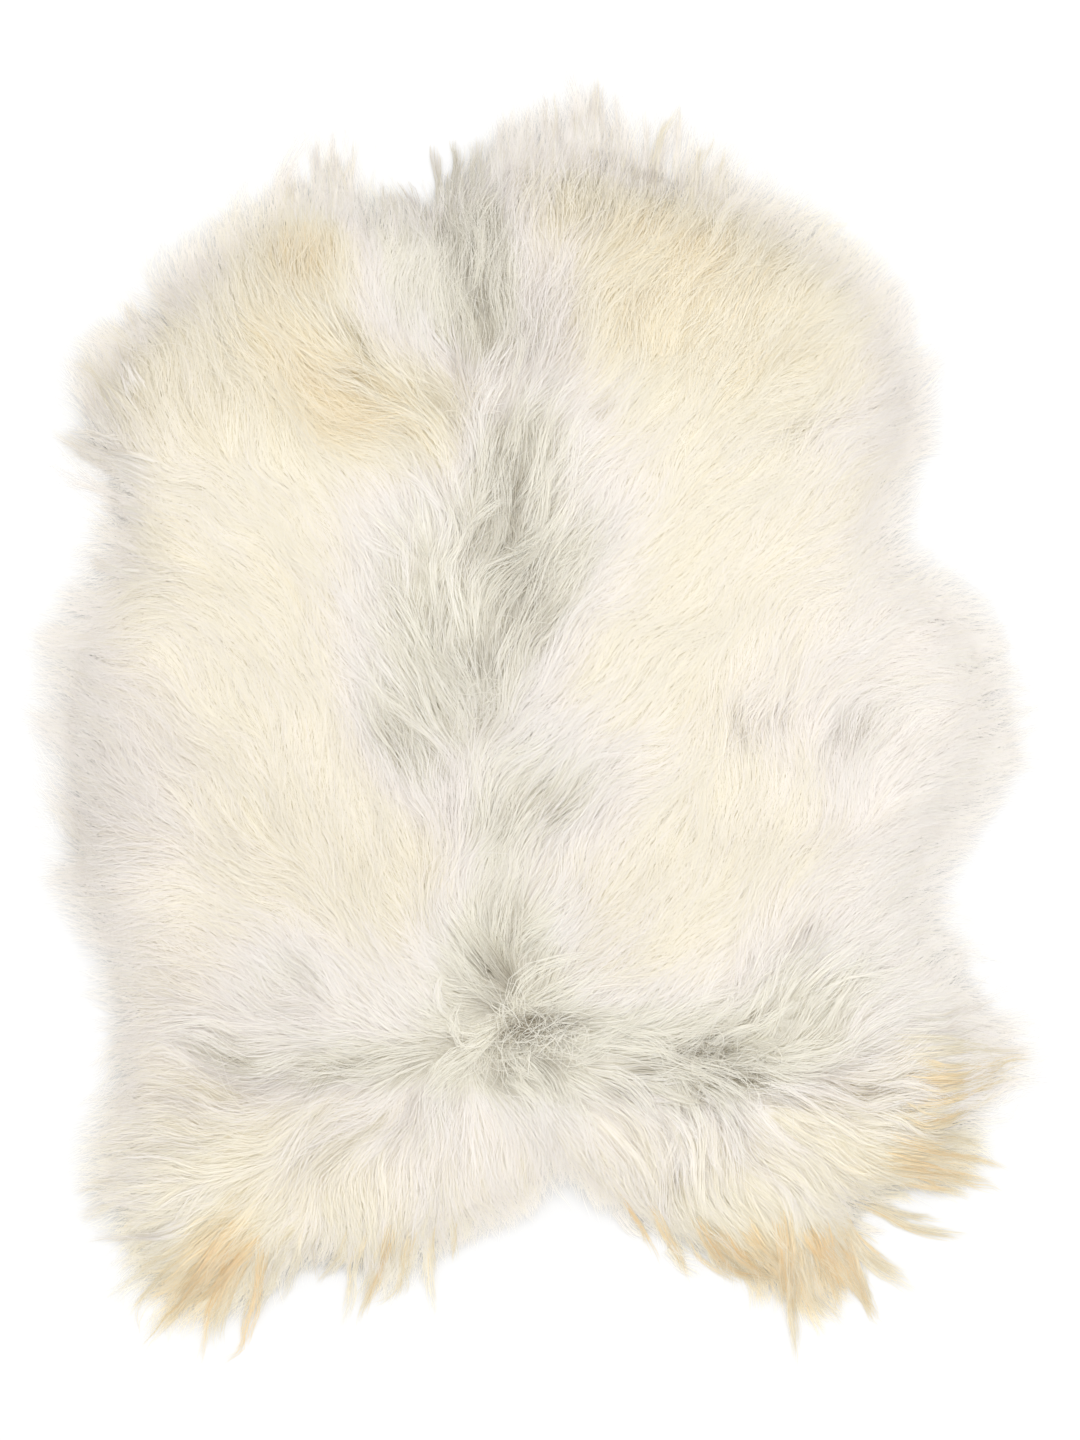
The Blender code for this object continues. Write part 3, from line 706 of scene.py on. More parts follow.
def grow(x, y, length, turn, bend, steps=locks["steps"], back=False):
    # Follows the lie of the wool from each root, or back from each tip. Turn and bend are in radians.
    count = steps * slow
    path = [np.stack([x, y], 1)]
    for k in range(count):
        share = (k + 0.5) / count
        fx, fy = sample(flowX, x, y), sample(flowY, x, y)
        size = np.hypot(fx, fy) + 1e-9
        angle = turn + bend * (share - 0.3) + sample(swirlField, x, y)
        cos, sin = np.cos(angle), np.sin(angle)
        dx, dy = (fx * cos - fy * sin) / size, (fx * sin + fy * cos) / size
        stride = (-length if back else length) / count
        x, y = x + dx * stride, y + dy * stride
        path.append(np.stack([x, y], 1))
    path = np.stack(path, 1)
    return path[:, ::-1] if back else path


def trimmed(x, y, length, turn, bend, room):
    # Shortens what would reach further past the dense edge than there is room.
    path = grow(x, y, length, turn, bend)
    outside = -sample(insetField, path[..., 0], path[..., 1])
    over = outside > room[:, None]
    first = np.where(over.any(1), over.argmax(1), path.shape[1] - 1)
    return length * np.maximum(first / (path.shape[1] - 1), locks["shortest"])


def sidewaysOf(path):
    heading = np.gradient(path, axis=1)
    heading /= np.linalg.norm(heading, axis=2, keepdims=True) + 1e-12
    return np.stack([-heading[..., 1], heading[..., 0]], 2)


def wavy(path, owner, length, sway, stray):
    # Waves shared by a lock, and each strand's own straying from it.
    strands, stations = path.shape[:2]
    along = np.linspace(0, 1, stations)
    lockTotal = owner.max() + 1
    waveLength = rng.uniform(*locks["waves"], lockTotal)[owner] * rng.uniform(0.85, 1.15, strands)
    phase = (rng.random(lockTotal) * 6.28)[owner] + rng.normal(0, 0.6, strands)
    wave = np.sin(along[None] * length[:, None] / waveLength[:, None] * 6.28 + phase[:, None])
    size = sway * rng.uniform(0.2, 1.0, lockTotal)[owner] * rng.uniform(0.4, 1.4, strands)
    drift = (rng.normal(0, 1, strands) * stray)[:, None] * along[None] ** 1.6
    return path + sidewaysOf(path) * (wave * size[:, None] * along[None] + drift)[..., None]


# Colour and lie of the strands.
dressing = {
    "tone": (0.65, 0.35),  # shares from each place and from the root
    "ownTone": (0.10, 0.90),  # shares from each place and from a lock's own tone
    "rimFade": 0.022,
    "rimTone": (0.58, 0.65),  # tone that the rim's tips are drawn to, and how far
    "toneSpread": (0.03, 0.05),  # between locks, which is doubled at the rear, and between strands
    "brightest": 0.985,
    "rank": (0.27, 0.73),  # by strand and by lock: low strands take most of the shade field's painted shade and dark pigment, and pale ones lie over them
    "lowShare": (0.53, 0.05),  # share of strands that lie low, and how softly that begins
    "softShade": 0.60,  # shade that calm wool takes evenly, without dark and pale strands
    "middle": 0.08,  # from the edge, in metres, to where the wool is in full light and shade
    "sink": 0.0080,  # of the low strands in deep shade
    "roll": 0.30,
}
alongLie = {
    "rootShade": ([0, 0.2, 0.5, 1.0], [0.12, 0.04, 0.0, 0.0]),
    "calm": ([0, 0.15, 0.4, 1.0], [-0.0012, -0.0006, 0.0001, 0.0006]),
    "width": [0, 0.3, 0.85, 1.0],
}


def dressed(path, owner, width, raised=0.0, darken=1.0, rootDepth=0.008, thinning=0.85,
            ownTone=None, ownLight=None, ownNoise=0.0):
    # Gives strands their heights, colours and widths from where they lie.
    strands, stations = path.shape[:2]
    share = np.linspace(0, 1, stations)
    lockTotal = owner.max() + 1

    def byLock():
        return rng.normal(0, 1, lockTotal)[owner][:, None]

    def byStrand(spread=1):
        return rng.normal(0, spread, strands)[:, None]

    x, y = path[..., 0], path[..., 1]
    inset, rear, rough = sample(insetField, x, y), sample(rearField, x, y), sample(roughField, x, y)
    rim = np.exp(-np.maximum(inset, 0) / dressing["rimFade"])

    here, fromRoot = dressing["tone"]
    tone = here * sample(toneField, x, y) + fromRoot * sample(toneField, x[:, 0], y[:, 0])[:, None]
    rimTone, rimPull = dressing["rimTone"]
    tone = tone + (rimTone - tone) * rimPull * rim * (1 - 0.85 * rear)
    if ownTone is not None:
        tone = tone * dressing["ownTone"][0] + ownTone * dressing["ownTone"][1]
    lockSpread, strandSpread = dressing["toneSpread"]
    tone = tone + byLock() * (lockSpread + lockSpread * rear) + byStrand(strandSpread)

    # Painted shade: the shade field darkens the strands, the low ones most; tousled wool is darker towards
    # the root, and all wool a little at the rim.
    shade = np.clip(sample(shadeField, x, y) * darken, 0, 1)
    rank = dressing["rank"][0] * rng.random(strands) + dressing["rank"][1] * rng.random(lockTotal)[owner]
    deep = 1 / (1 + np.exp(-(rank - dressing["lowShare"][0]) / dressing["lowShare"][1]))
    rootShade = np.interp(share, *alongLie["rootShade"])
    soft = dressing["softShade"] * (1 - rough)
    light = dressing["brightest"] - rootShade[None] * rough
    light = light * (1 - shade * (0.02 + soft + (1.32 - soft) * deep[:, None])) - 0.04 * rim
    if ownLight is not None:
        light = light * ownLight
    middle = 1 - np.exp(-np.maximum(inset, 0) / dressing["middle"])
    lockLight = 0.014 + 0.012 * middle + 0.09 * rough + 0.50 * shade * (0.06 + 0.94 * rough)
    light = light + byLock() * (lockLight + 0.6 * ownNoise)
    strandLight = 0.012 + 0.016 * middle + 0.03 * rough + 0.05 * shade + 0.02 * rim + ownNoise
    light = light + byStrand() * strandLight

    calmLie = np.interp(share, *alongLie["calm"])
    roughHeights = [-rootDepth, -0.4 * rootDepth, 0.0002, 0.0024, 0.0016]
    roughLie = np.interp(share, [0, 0.15, 0.4, 0.75, 1.0], roughHeights)
    lie = calmLie + (roughLie - calmLie) * rough
    lift = byLock() * (0.0003 + 0.0036 * rough) + byStrand() * (0.0004 + 0.0003 * rough)
    lift = lift * (0.4 + 0.6 * share) - dressing["sink"] * shade * (deep - 0.3)[:, None] + raised
    depth = np.clip((inset + 0.02) / 0.05, 0.12, 1)
    height = sample(topField, x, y) + (lie + lift) * depth
    height = np.maximum(height, 0.0005 + 0.0012 * rng.random(strands)[:, None])
    half = stations // 2
    size = rng.uniform(*width, strands) * (1 + 0.25 * rough[:, half])
    size = size * (1 - 0.25 * shade[:, half] * (1 - deep))
    taper = np.interp(share, alongLie["width"], [0.8, 1.0, thinning, 0.0])
    return {
        "points": np.concatenate([path, height[..., None]], 2),
        "light": np.clip(light, 0.02, 0.98),
        "tone": np.clip(tone, 0.02, 0.98),
        "width": size[:, None] * taper[None],
        "roll": rng.normal(0, dressing["roll"], strands) * (0.15 + 0.85 * rough[:, 0]),
    }


fine = np.linspace(0, 1, locks["steps"] * slow + 1)


def longerAtRim(x, y):
    more, depth = locks["longerRim"]
    return 1 + more * np.exp(-sample(insetField, x, y) / depth)


def fitted(x, y, length, turn, bend, room, rearCut):
    # Lengths cut to the room past the dense edge that there is where each lock ends.
    endX, endY = (grow(x, y, length, turn, bend)[:, -1]).T
    least, more = room
    room = tipRoom(endX, endY) * (least + more * rng.random(len(x)))
    return trimmed(x, y, length, turn, bend, room * (1 - rearCut * sample(rearField, endX, endY)))


# Tufts first: each gathers the locks that start near it.
tuftX, tuftY = jitteredPlaces(tufts["spacing"], locks["insideEdge"])
tuftLength = rng.uniform(*locks["length"], len(tuftX)) * tufts["longer"]
tuftLength *= longerAtRim(tuftX, tuftY)
tuftTurn, tuftBend = (rng.normal(0, tufts[key], len(tuftX)) for key in ("turn", "bend"))
tuftLength = fitted(tuftX, tuftY, tuftLength, tuftTurn, tuftBend, tufts["room"], tufts["rearCut"])
tuftPath = grow(tuftX, tuftY, tuftLength, tuftTurn, tuftBend)

lockX, lockY = jitteredPlaces(locks["spacing"], locks["insideEdge"])
lockCount = len(lockX)
tuftOf = np.argmin((lockX[:, None] - tuftX) ** 2 + (lockY[:, None] - tuftY) ** 2, axis=1)
lockLength = rng.uniform(*locks["length"], lockCount)
lockLength *= longerAtRim(lockX, lockY)
lockRough = sample(roughField, lockX, lockY)
lockTurn, lockBend = (rng.normal(0, 1, lockCount) * (locks[key][0] + locks[key][1] * lockRough)
                      for key in ("turn", "bend"))
lockLength = fitted(lockX, lockY, lockLength, lockTurn, lockBend, locks["room"], locks["rearCut"])
lockPath = grow(lockX, lockY, lockLength, lockTurn, lockBend)
gather = sample(shagField, lockX, lockY)[:, None] * fine[None] ** 1.3
lockPath = lockPath * (1 - gather[..., None]) + tuftPath[tuftOf] * gather[..., None]


def openness(path):
    # How thinly the locks cover each path, against the average.
    around = np.stack([path[..., 1].ravel(), path[..., 0].ravel()], 1)
    edges = [np.append(line, line[-1] + grid["step"]) - grid["step"] / 2 for line in (gridY, gridX)]
    cover = soften(np.histogram2d(around[:, 0], around[:, 1], bins=edges)[0], 6)
    least = 0.25 * cover[insetField > 0.03].mean()
    thin = (1 / np.maximum(sample(cover, path[..., 0], path[..., 1]), least)).mean(1)
    return thin / thin.mean()


per = rng.poisson(locks["strands"] * np.clip(openness(lockPath), *locks["perLock"]) * locks["fullness"])
owner = np.repeat(np.arange(lockCount), per)
count = len(owner)
print("tufts:", len(tuftX), "locks:", lockCount, "strands:", count)
spin, out = rng.random(count) * 2 * math.pi, np.sqrt(rng.random(count)) * locks["rootSpread"]
rootX, rootY = lockX[owner] + out * np.cos(spin), lockY[owner] + out * np.sin(spin)
shag, rough = sample(shagField, rootX, rootY), sample(roughField, rootX, rootY)
rimmost = np.exp(-np.maximum(sample(insetField, rootX, rootY), 0) / 0.05)
strandLength = lockLength[owner] * (1.06 - (0.44 + 0.20 * rimmost) * rng.random(count))
strandTurn = lockTurn[owner] + rng.normal(0, 1, count) * (0.06 + 0.08 * rough)
strandBend = lockBend[owner] + rng.normal(0, 0.25, count)
strandPath = grow(rootX, rootY, strandLength, strandTurn, strandBend)
clump = rng.uniform(*locks["clump"], lockCount)[owner] * (0.05 + 0.95 * rough) + 0.55 * shag
pull = np.clip(clump, 0, 0.94)[:, None] * fine[None] ** 0.9
path = strandPath * (1 - pull[..., None]) + lockPath[owner] * pull[..., None]
stray = locks["stray"] * (1 - 0.6 * shag) * (1 - 0.5 * rough)
path = wavy(path, owner, strandLength, locks["sway"], stray)
mainWool = dressed(path[:, ::slow], owner, locks["width"])

# Wisps that stand out from the rim, one to each pointed lock of the part.
wisps = {
    "strands": 36, "inSmall": 9,  # in a wisp, and in each small lock that it parts into
    "length": (0.070, 0.100), "width": (0.00026, 0.00050), "steps": 6,
    "spread": 0.0110, "smallSpread": 0.0017,  # of the small locks, and of the strands in them
    "clump": 0.70, "sway": 0.0026, "stray": 0.0036,
    "beyond": 0.014,  # that they run on past the part's own tips
    "shorter": 0.20, "ragged": 0.42, "staggered": 0.0,  # small locks, strand tips and strand roots
}


def along(path, reach, start=0.0):
    # The part of each path between start and reach, both as shares of its whole.
    stations = path.shape[1]
    start = np.broadcast_to(start, len(path))[:, None]
    where = (start + np.linspace(0, 1, stations)[None] * (reach[:, None] - start)) * (stations - 1)
    low = np.minimum(where.astype(int), stations - 2)
    part = (where - low)[..., None]
    rows = np.arange(len(path))[:, None]
    return path[rows, low] * (1 - part) + path[rows, low + 1] * part


def bundle(guide, per, spread, look):
    # Each guide path carries a few small locks, and each of those its strands.
    per = np.broadcast_to(per, len(guide))
    share = np.linspace(0, 1, guide.shape[1])
    small = np.maximum(per // look["inSmall"], 1)
    lockOf = np.repeat(np.arange(len(guide)), small)
    order = np.concatenate([np.arange(n) for n in small])
    offset = ((order + rng.uniform(0.1, 0.9, len(lockOf))) / small[lockOf] * 2 - 1) * (small[lockOf] > 1)
    closing = 1 - look["clump"] * share[None] ** 1.2
    aside = (offset * np.broadcast_to(spread, len(guide))[lockOf])[:, None] * closing
    path = guide[lockOf] + sidewaysOf(guide)[lockOf] * aside[..., None]
    reach = 1 - look["shorter"] * np.abs(offset) - look["shorter"] * rng.random(len(lockOf)) ** 2
    path = along(path, np.clip(reach, 0.3, 1))
    length = np.linalg.norm(np.diff(path, axis=1), axis=2).sum(1)
    path = wavy(path, np.arange(len(lockOf)), length, look["sway"], look["stray"])
    owner = np.repeat(np.arange(len(lockOf)), look["inSmall"])
    offset = rng.normal(0, look["smallSpread"], len(owner))
    closing = 1 - 0.85 * share[None] ** 1.1
    path = path[owner] + sidewaysOf(path)[owner] * (offset[:, None] * closing)[..., None]
    reach = 1 - look["ragged"] * rng.random(len(owner)) ** 1.5
    path = along(path, reach, look["staggered"] * rng.random(len(owner)))
    path = wavy(path, owner, length[owner], look["sway"] * 0.6, look["stray"] * 0.7)
    return path[:, :: (guide.shape[1] - 1) // look["steps"]], owner, lockOf[owner]


def drawnOut(guide, beyond, power):
    # Lets each guide run on past its end, most at its tip.
    ends = guide[:, -1:] - guide[:, -3:-2]
    more = (np.linspace(0, 1, guide.shape[1]) ** power)[None, :, None]
    return guide + ends / np.linalg.norm(ends, axis=2, keepdims=True) * beyond * more


tipX, tipY = tips[:, 0], tips[:, 1]
tipRear = sample(rearField, tipX, tipY)
wispTurn = rng.normal(0, 0.06, len(tips))
wispLength, wispBend = rng.uniform(*wisps["length"], len(tips)), rng.normal(0, 0.30, len(tips))
guide = grow(tipX, tipY, wispLength, wispTurn, wispBend, steps=wisps["steps"], back=True)
guide = drawnOut(guide, wisps["beyond"], 2)
bitten = biteAt(guide[:, ::3, 0], guide[:, ::3, 1]).max(1) + 0.010 * tipRear
guide = along(guide, 1 - np.clip(1.3 * bitten / 0.09, 0, 0.55))
path, wispOwner, _ = bundle(guide, wisps["strands"], wisps["spread"] * (1 - 0.4 * tipRear), wisps)
rimWisps = dressed(path, wispOwner, wisps["width"], darken=0.8, rootDepth=0.005)
print("rim wisps:", len(tips), "locks,", len(wispOwner), "strands")

# Fine fibres of the fringe, thinning out past the locks.
fringe = {
    "strands": 12000, "thrown": 400000,  # and roots thrown, of which those near the edge are kept
    "inset": (0.0, 0.022), "outside": 0.004,  # of roots, and least of tips, from the dense edge
    "length": (0.060, 0.110), "width": (0.00022, 0.00038),
    "turn": 0.22, "bend": 0.45, "sway": 0.0022, "stray": 0.0045,
}


def thrown(count):
    return [rng.uniform(-half, half, count) for half in rugHalf]


def singles(look, count):
    # Length, turn and bend of strands that belong to no lock.
    turnAndBend = (rng.normal(0, look[key], count) for key in ("turn", "bend"))
    return rng.uniform(*look["length"], count), *turnAndBend


def swayed(look, path, length):
    return wavy(path, np.arange(len(path)), length, look["sway"], look["stray"])[:, ::slow]


def dressedSingles(look, path, **finish):
    return dressed(path, np.arange(len(path)), look["width"], **finish)


def makeFringe():
    x, y = thrown(fringe["thrown"])
    inset = sample(insetField, x, y)
    keep = (inset > fringe["inset"][0]) & (inset < fringe["inset"][1])
    x, y = x[keep][: fringe["strands"]], y[keep][: fringe["strands"]]
    length, turn, bend = singles(fringe, len(x))
    endX, endY = grow(x, y, length, turn, bend)[:, -1].T
    room = tipRoom(endX, endY) * (0.60 + 1.00 * rng.random(len(x))) + 0.006
    room = room * (1 - 0.5 * sample(rearField, endX, endY))
    length = trimmed(x, y, length, turn, bend, room)
    path = swayed(fringe, grow(x, y, length, turn, bend), length)
    path = path[-sample(insetField, path[:, -1, 0], path[:, -1, 1]) > fringe["outside"]]
    return dressedSingles(fringe, path, darken=0.4, rootDepth=0.003)


fringeWool = makeFringe()
print("fringe:", len(fringeWool["roll"]), "fibres")

# Long locks, given one by one: path from root to tip and half width in pixels, tone, light, strands.
handLocks = {
    "leftRear": [
        ([(235, 1222), (190, 1252), (152, 1283), (131, 1298), (127, 1311), (131, 1325),
          (136, 1338)], 7, 0.23, 0.94, 30),
        ([(150, 1190), (112, 1203), (86, 1215), (68, 1233)], 10, 0.6, 0.92, 44),
        ([(195, 1222), (150, 1238), (112, 1241), (80, 1243)], 9, 0.6, 0.94, 44),
        ([(195, 1240), (160, 1262), (130, 1280), (104, 1298)], 8, 0.31, 0.92, 44),
        ([(160, 1180), (120, 1184), (92, 1186), (70, 1188)], 9, 0.6, 0.89, 40),
        ([(256, 1222), (224, 1258), (199, 1288), (177, 1314), (156, 1337),
          (137, 1360)], 20, 0.04, 0.80, 160),
        ([(247, 1240), (226, 1280), (209, 1310), (204, 1338), (201, 1360)], 13, 0.07, 0.82, 70),
        ([(250, 1250), (228, 1290), (214, 1322), (210, 1346)], 8, 0.12, 0.88, 40),
        ([(264, 1236), (258, 1278), (255, 1305), (249, 1325), (246, 1340), (250, 1352), (243, 1361),
          (226, 1366)], 7, 0.1, 0.86, 44),
        ([(286, 1236), (272, 1272), (264, 1296), (254, 1322)], 8, 0.36, 0.98, 40),
        ([(310, 1225), (298, 1258), (287, 1288), (279, 1304)], 8, 0.36, 0.98, 36),
        ([(322, 1222), (314, 1250), (312, 1284)], 5, 0.45, 0.98, 20),
        ([(354, 1222), (340, 1256), (328, 1278), (319, 1292)], 6, 0.24, 0.98, 28),
        ([(366, 1225), (354, 1265), (348, 1300), (344, 1330)], 7, 0.21, 0.98, 36),
        ([(392, 1222), (382, 1260), (370, 1290), (360, 1312), (354, 1336)], 9, 0.1, 0.89, 60),
        ([(398, 1232), (398, 1268), (400, 1287), (390, 1300), (374, 1303)], 7, 0.1, 0.9, 40),
        ([(414, 1228), (407, 1262), (402, 1288), (396, 1302)], 7, 0.21, 0.97, 40),
        ([(430, 1226), (427, 1262), (428, 1290), (434, 1316)], 7, 0.23, 0.98, 36),
        ([(452, 1215), (455, 1250), (458, 1282)], 5, 0.41, 0.99, 20),
    ],
    "rightRear": [
        ([(618, 1188), (632, 1216), (645, 1240), (652, 1254), (656, 1270)], 5, 0.07, 0.86, 28),
        ([(648, 1202), (665, 1234), (680, 1255), (690, 1275), (697, 1290)], 6, 0.08, 0.87, 36),
        ([(688, 1235), (700, 1262), (713, 1272), (730, 1281)], 3, 0.06, 0.86, 16),
        ([(696, 1215), (712, 1247), (724, 1266), (736, 1278), (752, 1283), (770, 1285),
          (790, 1287)], 8, 0.03, 0.72, 84),
        ([(716, 1226), (735, 1256), (755, 1274), (788, 1284)], 8, 0.03, 0.74, 70),
        ([(742, 1220), (760, 1248), (775, 1264), (788, 1274)], 9, 0.08, 0.86, 50),
        ([(780, 1208), (787, 1250), (790, 1285), (793, 1310), (797, 1330), (802, 1352),
          (806, 1374)], 10, 0.08, 0.88, 90),
        ([(792, 1250), (795, 1288), (797, 1316), (801, 1338)], 8, 0.1, 0.86, 40),
        ([(803, 1238), (810, 1275), (816, 1300), (830, 1317), (843, 1330), (860, 1330)], 7, 0.26, 0.94, 36),
        ([(814, 1222), (828, 1262), (838, 1288), (844, 1312)], 14, 0.03, 0.78, 110),
        ([(838, 1222), (855, 1268), (865, 1298), (872, 1318), (880, 1334)], 13, 0.09, 0.88, 100),
        ([(826, 1225), (847, 1268), (862, 1296), (876, 1316), (888, 1334)], 9, 0.12, 0.9, 50),
        ([(835, 1212), (856, 1246), (880, 1265), (904, 1276), (920, 1288), (930, 1304)], 9, 0.21, 0.93, 70),
        ([(845, 1232), (862, 1262), (884, 1278), (906, 1288), (922, 1300)], 7, 0.24, 0.95, 36),
        ([(845, 1198), (878, 1212), (900, 1224), (920, 1230), (942, 1232), (960, 1230), (974, 1236),
          (983, 1246)], 7, 0.24, 0.92, 54),
        ([(868, 1204), (892, 1216), (915, 1224), (942, 1228)], 6, 0.24, 0.94, 30),
    ],
    "rightFoot": [
        ([(880, 1110), (900, 1117), (915, 1131), (935, 1139), (962, 1139)], 7, 0.45, 1, 44),
        ([(900, 1132), (940, 1142), (970, 1142), (998, 1150)], 11, 0.21, 0.94, 50),
        ([(885, 1140), (925, 1152), (962, 1160), (990, 1166), (1006, 1174)], 13, 0.07, 0.83, 70),
        ([(880, 1162), (925, 1172), (965, 1181), (1008, 1192)], 12, 0.05, 0.78, 70),
        ([(900, 1180), (935, 1190), (965, 1197), (982, 1200)], 8, 0.07, 0.83, 36),
        ([(895, 1104), (925, 1121), (952, 1119), (978, 1104), (1000, 1088)], 10, 0.12, 0.84, 60),
        ([(900, 1092), (940, 1096), (975, 1088), (1005, 1076), (1036, 1066)], 15, 0.12, 0.87, 80),
        ([(905, 1066), (950, 1074), (985, 1070), (1015, 1061), (1044, 1056)], 13, 0.1, 0.86, 80),
        ([(890, 1048), (945, 1045), (995, 1052), (1048, 1052)], 14, 0.27, 0.96, 70),
        ([(900, 1020), (945, 1022), (975, 1012), (992, 1002)], 10, 0.6, 0.96, 44),
        ([(905, 1036), (950, 1036), (980, 1030), (1004, 1020)], 10, 0.6, 0.96, 40),
    ],
    "leftShoulder": [
        ([(160, 478), (125, 463), (95, 453), (66, 437), (44, 420)], 17, 0.6, 0.9, 100),
        ([(125, 442), (102, 438), (80, 430), (58, 428)], 9, 0.6, 0.91, 40),
        ([(130, 420), (118, 400), (102, 380), (82, 358)], 13, 0.45, 0.86, 60),
        ([(140, 395), (122, 362), (112, 338)], 12, 0.57, 0.91, 50),
        ([(142, 350), (134, 326), (130, 300)], 10, 0.6, 0.94, 40),
        ([(112, 432), (92, 412), (78, 388)], 9, 0.6, 0.9, 40),
        ([(150, 520), (122, 512), (100, 510), (92, 500)], 10, 0.6, 0.91, 40),
        ([(140, 572), (108, 568), (88, 560), (80, 545)], 10, 0.6, 0.92, 40),
    ],
    "nape": [
        ([(284, 226), (286, 196), (288, 166)], 9, 0.45, 0.93, 44),
        ([(302, 222), (299, 186), (300, 160)], 8, 0.6, 0.95, 36),
        ([(318, 222), (316, 178), (315, 150), (313, 122)], 9, 0.6, 0.94, 44),
        ([(333, 222), (331, 172), (332, 142), (331, 120)], 10, 0.6, 0.92, 50),
        ([(348, 216), (346, 170), (349, 138)], 7, 0.4, 0.97, 30),
        ([(386, 222), (386, 200), (388, 180)], 9, 0.7, 0.74, 36),
        ([(442, 205), (437, 168), (435, 138)], 9, 0.76, 0.7, 40),
        ([(456, 214), (457, 165), (461, 124)], 10, 0.86, 0.64, 50),
        ([(476, 204), (476, 160), (479, 126)], 9, 0.82, 0.66, 44),
        ([(500, 192), (498, 150), (501, 116)], 9, 0.6, 0.94, 40),
        ([(530, 180), (529, 140), (532, 116)], 9, 0.6, 0.96, 36),
        ([(553, 182), (553, 130), (551, 88)], 13, 0.57, 0.94, 60),
        ([(578, 160), (577, 116), (576, 80)], 9, 0.57, 0.94, 40),
        ([(590, 165), (592, 118), (594, 84), (595, 64)], 10, 0.6, 0.92, 50),
        ([(602, 162), (601, 118), (601, 76)], 8, 0.6, 0.94, 40),
        ([(616, 175), (616, 128), (616, 82)], 6, 0.6, 0.95, 26),
        ([(645, 186), (646, 138), (646, 102)], 7, 0.6, 0.97, 26),
        ([(654, 194), (657, 158), (662, 131), (673, 119), (677, 104)], 9, 0.36, 0.94, 44),
        ([(676, 180), (681, 128), (680, 100)], 6, 0.6, 0.97, 22),
        ([(686, 202), (699, 168), (707, 141), (711, 124)], 8, 0.41, 0.91, 36),
        ([(718, 206), (722, 172), (728, 146)], 8, 0.45, 0.94, 30),
    ],
}
handLook = {
    **wisps,
    "fullness": 1.36,  # of the strands in the table
    "inSmall": 11, "steps": 8, "width": (0.00030, 0.00056),
    "smallSpread": 0.0013, "clump": 0.86, "stray": 0.0030,
    "shorter": 0.30, "ragged": 0.28, "staggered": 0.40,
    "endTone": 0.42, "endDarker": 0.55,  # browner at the tips, and darker
}


def throughPoints(pixels, stations):
    # An even curve through the points given.
    x, y = fromPhoto(*np.array(pixels, float).T)
    knots = np.concatenate([[0], np.cumsum(np.hypot(np.diff(x), np.diff(y)))])
    even = np.linspace(0, knots[-1], stations)
    curve = np.stack([np.interp(even, knots, x), np.interp(even, knots, y)], 1)
    for _ in range(2):
        curve[1:-1] = (curve[:-2] + 2 * curve[1:-1] + curve[2:]) / 4
    return curve


longLocks = [lock for group in handLocks.values() for lock in group]
pixels, halfWidths, tones, lights, fullness = map(list, zip(*longLocks))
guide = np.stack([throughPoints(line, handLook["steps"] * slow + 1) for line in pixels])
guide = drawnOut(guide, handLook["beyond"], 3)
strands = (np.array(fullness) * handLook["fullness"]).astype(int)
path, handOwner, handLock = bundle(guide, strands, np.array(halfWidths) * photo["metresPerPixel"], handLook)
toTip = np.linspace(0, 1, path.shape[1]) ** 2.5
handTone = np.array(tones)[handLock][:, None] + rng.normal(0, 0.07, len(handLock))[:, None]
handTone = handTone * 1.05 - 0.02
handTone = handTone + (handLook["endTone"] - handTone) * 0.6 * toTip
handLight = np.array(lights)[handLock][:, None] * (1 - handLook["endDarker"] * toTip)
handWool = dressed(path, handOwner, handLook["width"], raised=0.0030, darken=0.0, rootDepth=0.006,
                   thinning=0.66, ownTone=handTone, ownLight=handLight, ownNoise=0.05)
print("long locks:", len(longLocks), "with", len(handOwner), "strands")

# Tangles where the lie of the wool parts: pixel x, pixel y, radius in pixels, strands.
tangles = [
    (530, 1030, 34, 240), (505, 1050, 22, 120), (560, 1035, 22, 120), (470, 408, 20, 120),
    (478, 704, 22, 160), (525, 570, 26, 120), (705, 1055, 30, 140), (755, 1072, 26, 100),
]
tangleLook = {
    "length": (0.022, 0.045), "width": (0.00035, 0.00070), "raised": -0.0012,
    "turn": 0.9, "bend": 1.6, "sway": 0.0020, "stray": 0.002,
}


def makeTangles():
    x, y = [], []
    for px, py, radius, strands in tangles:
        midX, midY = fromPhoto(px, py)
        spin = rng.random(strands) * 2 * math.pi
        out = np.sqrt(rng.random(strands)) * radius * photo["metresPerPixel"]
        x.append(midX + out * np.cos(spin))
        y.append(midY + out * np.sin(spin))
    x, y = np.concatenate(x), np.concatenate(y)
    length, turn, bend = singles(tangleLook, len(x))
    path = grow(x, y, length, turn, bend)
    path = path - (path[:, 9:10] - path[:, :1]) * 0.6  # so that they lie about the middle
    path = swayed(tangleLook, path, length)
    return dressedSingles(tangleLook, path, raised=tangleLook["raised"], rootDepth=0.004)


tangleWool = makeTangles()

# Loose strands over the rest: pale ones where the shade field is deep, over the grey wool and its painted
# shade, a few everywhere.
loose = {
    "strands": 3600, "thrown": 90000, "elsewhere": 0.16,  # chance of one away from the grey
    "inset": 0.015, "length": (0.035, 0.075), "width": (0.00028, 0.00046),
    "turn": 0.34, "bend": 0.8, "sway": 0.0026, "stray": 0.003, "raised": 0.0022,
}


def makeLoose():
    x, y = thrown(loose["thrown"])
    chance = loose["elsewhere"] + np.clip(sample(shadeField, x, y) * 1.8, 0, 1)
    keep = (sample(insetField, x, y) > loose["inset"]) & (rng.random(len(x)) < chance / chance.max())
    x, y = x[keep][: loose["strands"]], y[keep][: loose["strands"]]
    length, turn, bend = singles(loose, len(x))
    path = swayed(loose, grow(x, y, length, turn, bend), length)
    return dressedSingles(loose, path, raised=loose["raised"], darken=0.0, rootDepth=0.005)


looseWool = makeLoose()

